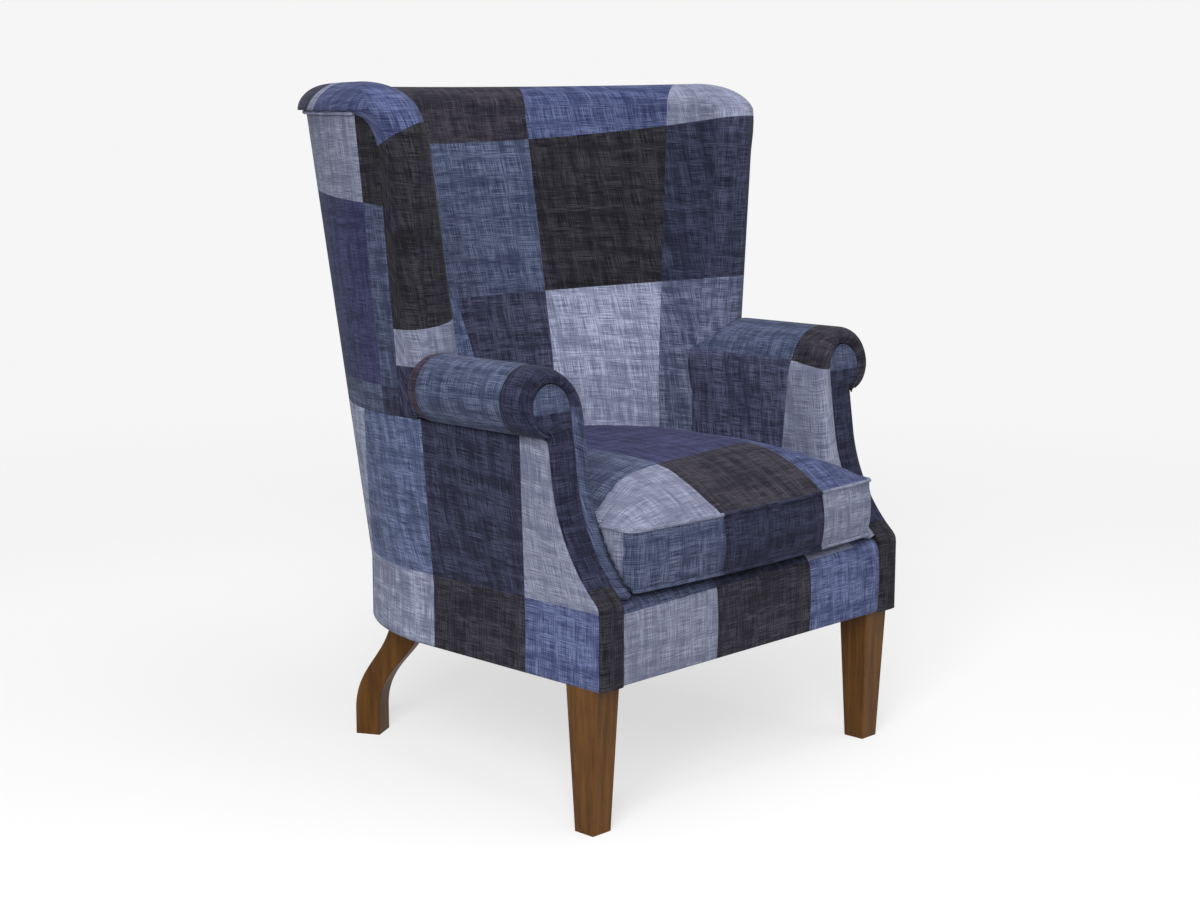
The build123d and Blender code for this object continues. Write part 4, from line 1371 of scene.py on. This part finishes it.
# %% Webbing
rail_inner, front_rail = 290.7, -346.7
strap_half, strap_top, strap_layer = 25.0, 302.0, 2.0
strap_thickness, strap_gap = 1.8, 0.1
reach = rail_inner + 10.0
front_end = front_rail - 20.0
straps = []
for x in (-190.0, -95.0, 0.0, 95.0, 190.0):
    back_end = shell_centre + math.sqrt(reach**2 - (abs(x) + strap_half) ** 2)
    straps.append(((x - strap_half, front_end), (x + strap_half, back_end), strap_top))
for share in (0.17, 0.5, 0.83):
    y = front_rail + (shell_centre - front_rail) * share
    straps.append(((fit - reach, y - strap_half), (reach - fit, y + strap_half), strap_top - strap_layer))
for share in (0.33, 0.6):
    y = shell_centre + rail_inner * share
    half = math.sqrt(rail_inner**2 - (y + strap_half - shell_centre) ** 2) - fit
    straps.append(((-half, y - strap_half), (half, y + strap_half), strap_top - strap_layer))

for number, ((x0, y0), (x1, y1), top) in enumerate(straps, 1):
    xs, ys = np.meshgrid(np.linspace(x0, x1, 25), np.linspace(y0, y1, 25))
    woven = grid_mesh(np.stack([xs, ys, np.full_like(xs, top - strap_gap)], axis=-1))
    strap = as_piece(woven, f"webbing_strap_{number}", lambda place: "jute", strap_thickness)
    dress(strap, "webbing")
print("webbing:", len(straps), "straps")

# %% [markdown]
# ## Wood and steel
# The legs are hardwood stained a warm brown and given a satin lacquer: fine dark pores and broad
# bands of grain along the leg. The hidden frame is plain sawn beech. Both are the same recipe, a
# noise stretched along the grain, with other colours and gloss, and its pores are drawn wider than
# real ones, so that they show. The bolts are zinc-plated steel, a cold grey metal that shines
# unevenly, with about one duller speck to a millimetre.

# %% Wood and steel
def wood(name, pale, dark, roughness, gloss):
    """Straight-grained hardwood: broad bands and fine pores along the grain, in model space."""
    material, tree = new_material(name)
    place = add_node(tree, "TexCoord").outputs["Object"]
    parts = {}
    for key, width, length, detail in (("bands", 9.0, 160.0, 3.0), ("pores", 1.1, 30.0, 2.0)):
        drawn_out = add_node(
            tree,
            "VectorMath",
            {0: place, 1: (1 / (width * mm), 1 / (width * mm), 1 / (length * mm))},
            operation="MULTIPLY",
        )
        parts[key] = add_node(
            tree,
            "TexNoise",
            {"Vector": drawn_out.outputs[0], "Scale": 1.0, "Detail": detail, "Distortion": 0.4},
        ).outputs["Fac"]
    grain = add_node(tree, "MapRange", {"Value": parts["bands"], "From Min": 0.3, "From Max": 0.7})
    pores = add_node(
        tree,
        "MapRange",
        {"Value": parts["pores"], "From Min": 0.52, "From Max": 0.72, "To Max": 0.55},
    )
    shade = add_node(
        tree, "Math", {0: grain.outputs[0], 1: pores.outputs[0]}, operation="SUBTRACT", use_clamp=True
    )
    colour = add_node(
        tree, "Mix", {0: shade.outputs[0], 6: linear(dark), 7: linear(pale)}, data_type="RGBA"
    )
    relief = add_node(tree, "Bump", {"Height": parts["pores"], "Strength": 0.08, "Distance": 0.3 * mm})
    surface = add_node(
        tree,
        "BsdfPrincipled",
        {
            "Base Color": colour.outputs[2],
            "Roughness": roughness,
            "Specular IOR Level": gloss,
            "Normal": relief.outputs[0],
        },
    )
    add_node(tree, "OutputMaterial", {"Surface": surface.outputs[0]})
    return material


leg_wood = wood("stained_hardwood_satin", "#6d471a", "#4b2e0e", 0.5, 0.2)
frame_wood = wood("sawn_beech", "#c9a577", "#ab8457", 0.75, 0.3)

specks_per_metre = 900.0
bolt_steel, tree = new_material("zinc_plated_steel")
place = add_node(tree, "TexCoord").outputs["Object"]
specks = add_node(tree, "TexNoise", {"Vector": place, "Scale": specks_per_metre, "Detail": 2.0})
dulled = add_node(tree, "MapRange", {"Value": specks.outputs["Fac"], "To Min": 0.28, "To Max": 0.45})
metal = add_node(
    tree,
    "BsdfPrincipled",
    {"Base Color": linear("#b9bdc2"), "Metallic": 1.0, "Roughness": dulled.outputs[0]},
)
add_node(tree, "OutputMaterial", {"Surface": metal.outputs[0]})

for name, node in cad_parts.items():
    finish = leg_wood if "_leg_" in name else bolt_steel if name == "leg_bolts" else frame_wood
    node.data.materials.clear()
    node.data.materials.append(finish)
print("wood and steel on", sum(not node.hide_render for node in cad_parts.values()), "CAD nodes")

# %% [markdown]
# ## Studio
# The photograph has a white sweep behind the chair and broad soft light with hardly a shadow. A
# large pale floor takes the soft shadow under the legs, and farther out it fades into the world,
# so no horizon shows. The world is near white to the camera and to gloss, and lights the chair at a
# plain level together with three wide lamps: one beside the camera, which reaches into the seat,
# one above and a weaker one from the right.

# %% Floor, world and lamps
def seen_rays(tree):
    """1 for the rays that show a thing to the camera, directly, in gloss or through glass."""
    path = add_node(tree, "LightPath")
    shown = path.outputs["Is Camera Ray"]
    for ray in ("Is Glossy Ray", "Is Transmission Ray"):
        shown = add_node(tree, "Math", {0: shown, 1: path.outputs[ray]}, operation="MAXIMUM").outputs[0]
    return shown


floor_material, tree = new_material("matt_white_sweep")
place = add_node(tree, "TexCoord").outputs["Object"]
shown = seen_rays(tree)
grain = add_node(tree, "TexNoise", {"Vector": place, "Scale": 3.0})
rough = add_node(tree, "MapRange", {"Value": grain.outputs["Fac"], "To Min": 0.85, "To Max": 0.95})
shade = add_node(tree, "MapRange", {"Value": shown, "To Min": 0.8, "To Max": 0.3})
paper = add_node(tree, "BsdfDiffuse", {"Color": shade.outputs[0], "Roughness": rough.outputs[0]})
glow = add_node(tree, "Math", {0: shown, 1: 0.62}, operation="MULTIPLY")
lit = add_node(tree, "Emission", {"Color": linear("#ffffff"), "Strength": glow.outputs[0]})
sweep = add_node(tree, "AddShader", {0: paper.outputs[0], 1: lit.outputs[0]})
distance = add_node(tree, "VectorMath", {0: place}, operation="LENGTH")
fade = add_node(
    tree,
    "MapRange",
    {"Value": distance.outputs["Value"], "From Min": 1.2, "From Max": 3.6},
    interpolation_type="SMOOTHSTEP",
)
clear = add_node(tree, "BsdfTransparent")
faded = add_node(tree, "MixShader", {0: fade.outputs[0], 1: sweep.outputs[0], 2: clear.outputs[0]})
add_node(tree, "OutputMaterial", {"Surface": faded.outputs[0]})

floor_half = 40.0
floor_corners = [(x * floor_half, y * floor_half, 0.0) for x, y in ((-1, -1), (1, -1), (1, 1), (-1, 1))]
floor_mesh = bpy.data.meshes.new("studio_floor")
floor_mesh.from_pydata(floor_corners, [], [(0, 1, 2, 3)])
floor_mesh.materials.append(floor_material)
floor = bpy.data.objects.new("studio_floor", floor_mesh)
bpy.context.scene.collection.objects.link(floor)

world = bpy.data.worlds.new("studio_light")
bpy.context.scene.world = world
world.use_nodes = True
tree = world.node_tree
tree.nodes.clear()
strength = add_node(tree, "MapRange", {"Value": seen_rays(tree), "To Min": 0.36, "To Max": 0.92})
sky = add_node(tree, "Background", {"Color": linear("#ffffff"), "Strength": strength.outputs[0]})
add_node(tree, "OutputWorld", {"Surface": sky.outputs[0]})

lamp_aim = Vector((0.0, 0.0, 0.5))
for name, place, size, power in (
    ("key_lamp", (-3.1, -2.3, 2.3), 2.2, 120.0),
    ("top_lamp", (0.0, -0.6, 3.3), 2.0, 52.0),
    ("fill_lamp", (2.4, -3.0, 1.8), 2.2, 15.0),
):
    lamp_light = bpy.data.lights.new(name, "AREA")
    lamp_light.size = size
    lamp_light.energy = power
    lamp = bpy.data.objects.new(name, lamp_light)
    lamp.location = place
    lamp.rotation_euler = (lamp_aim - Vector(place)).to_track_quat("-Z", "Y").to_euler()
    bpy.context.scene.collection.objects.link(lamp)
print("studio: floor, world and three lamps")
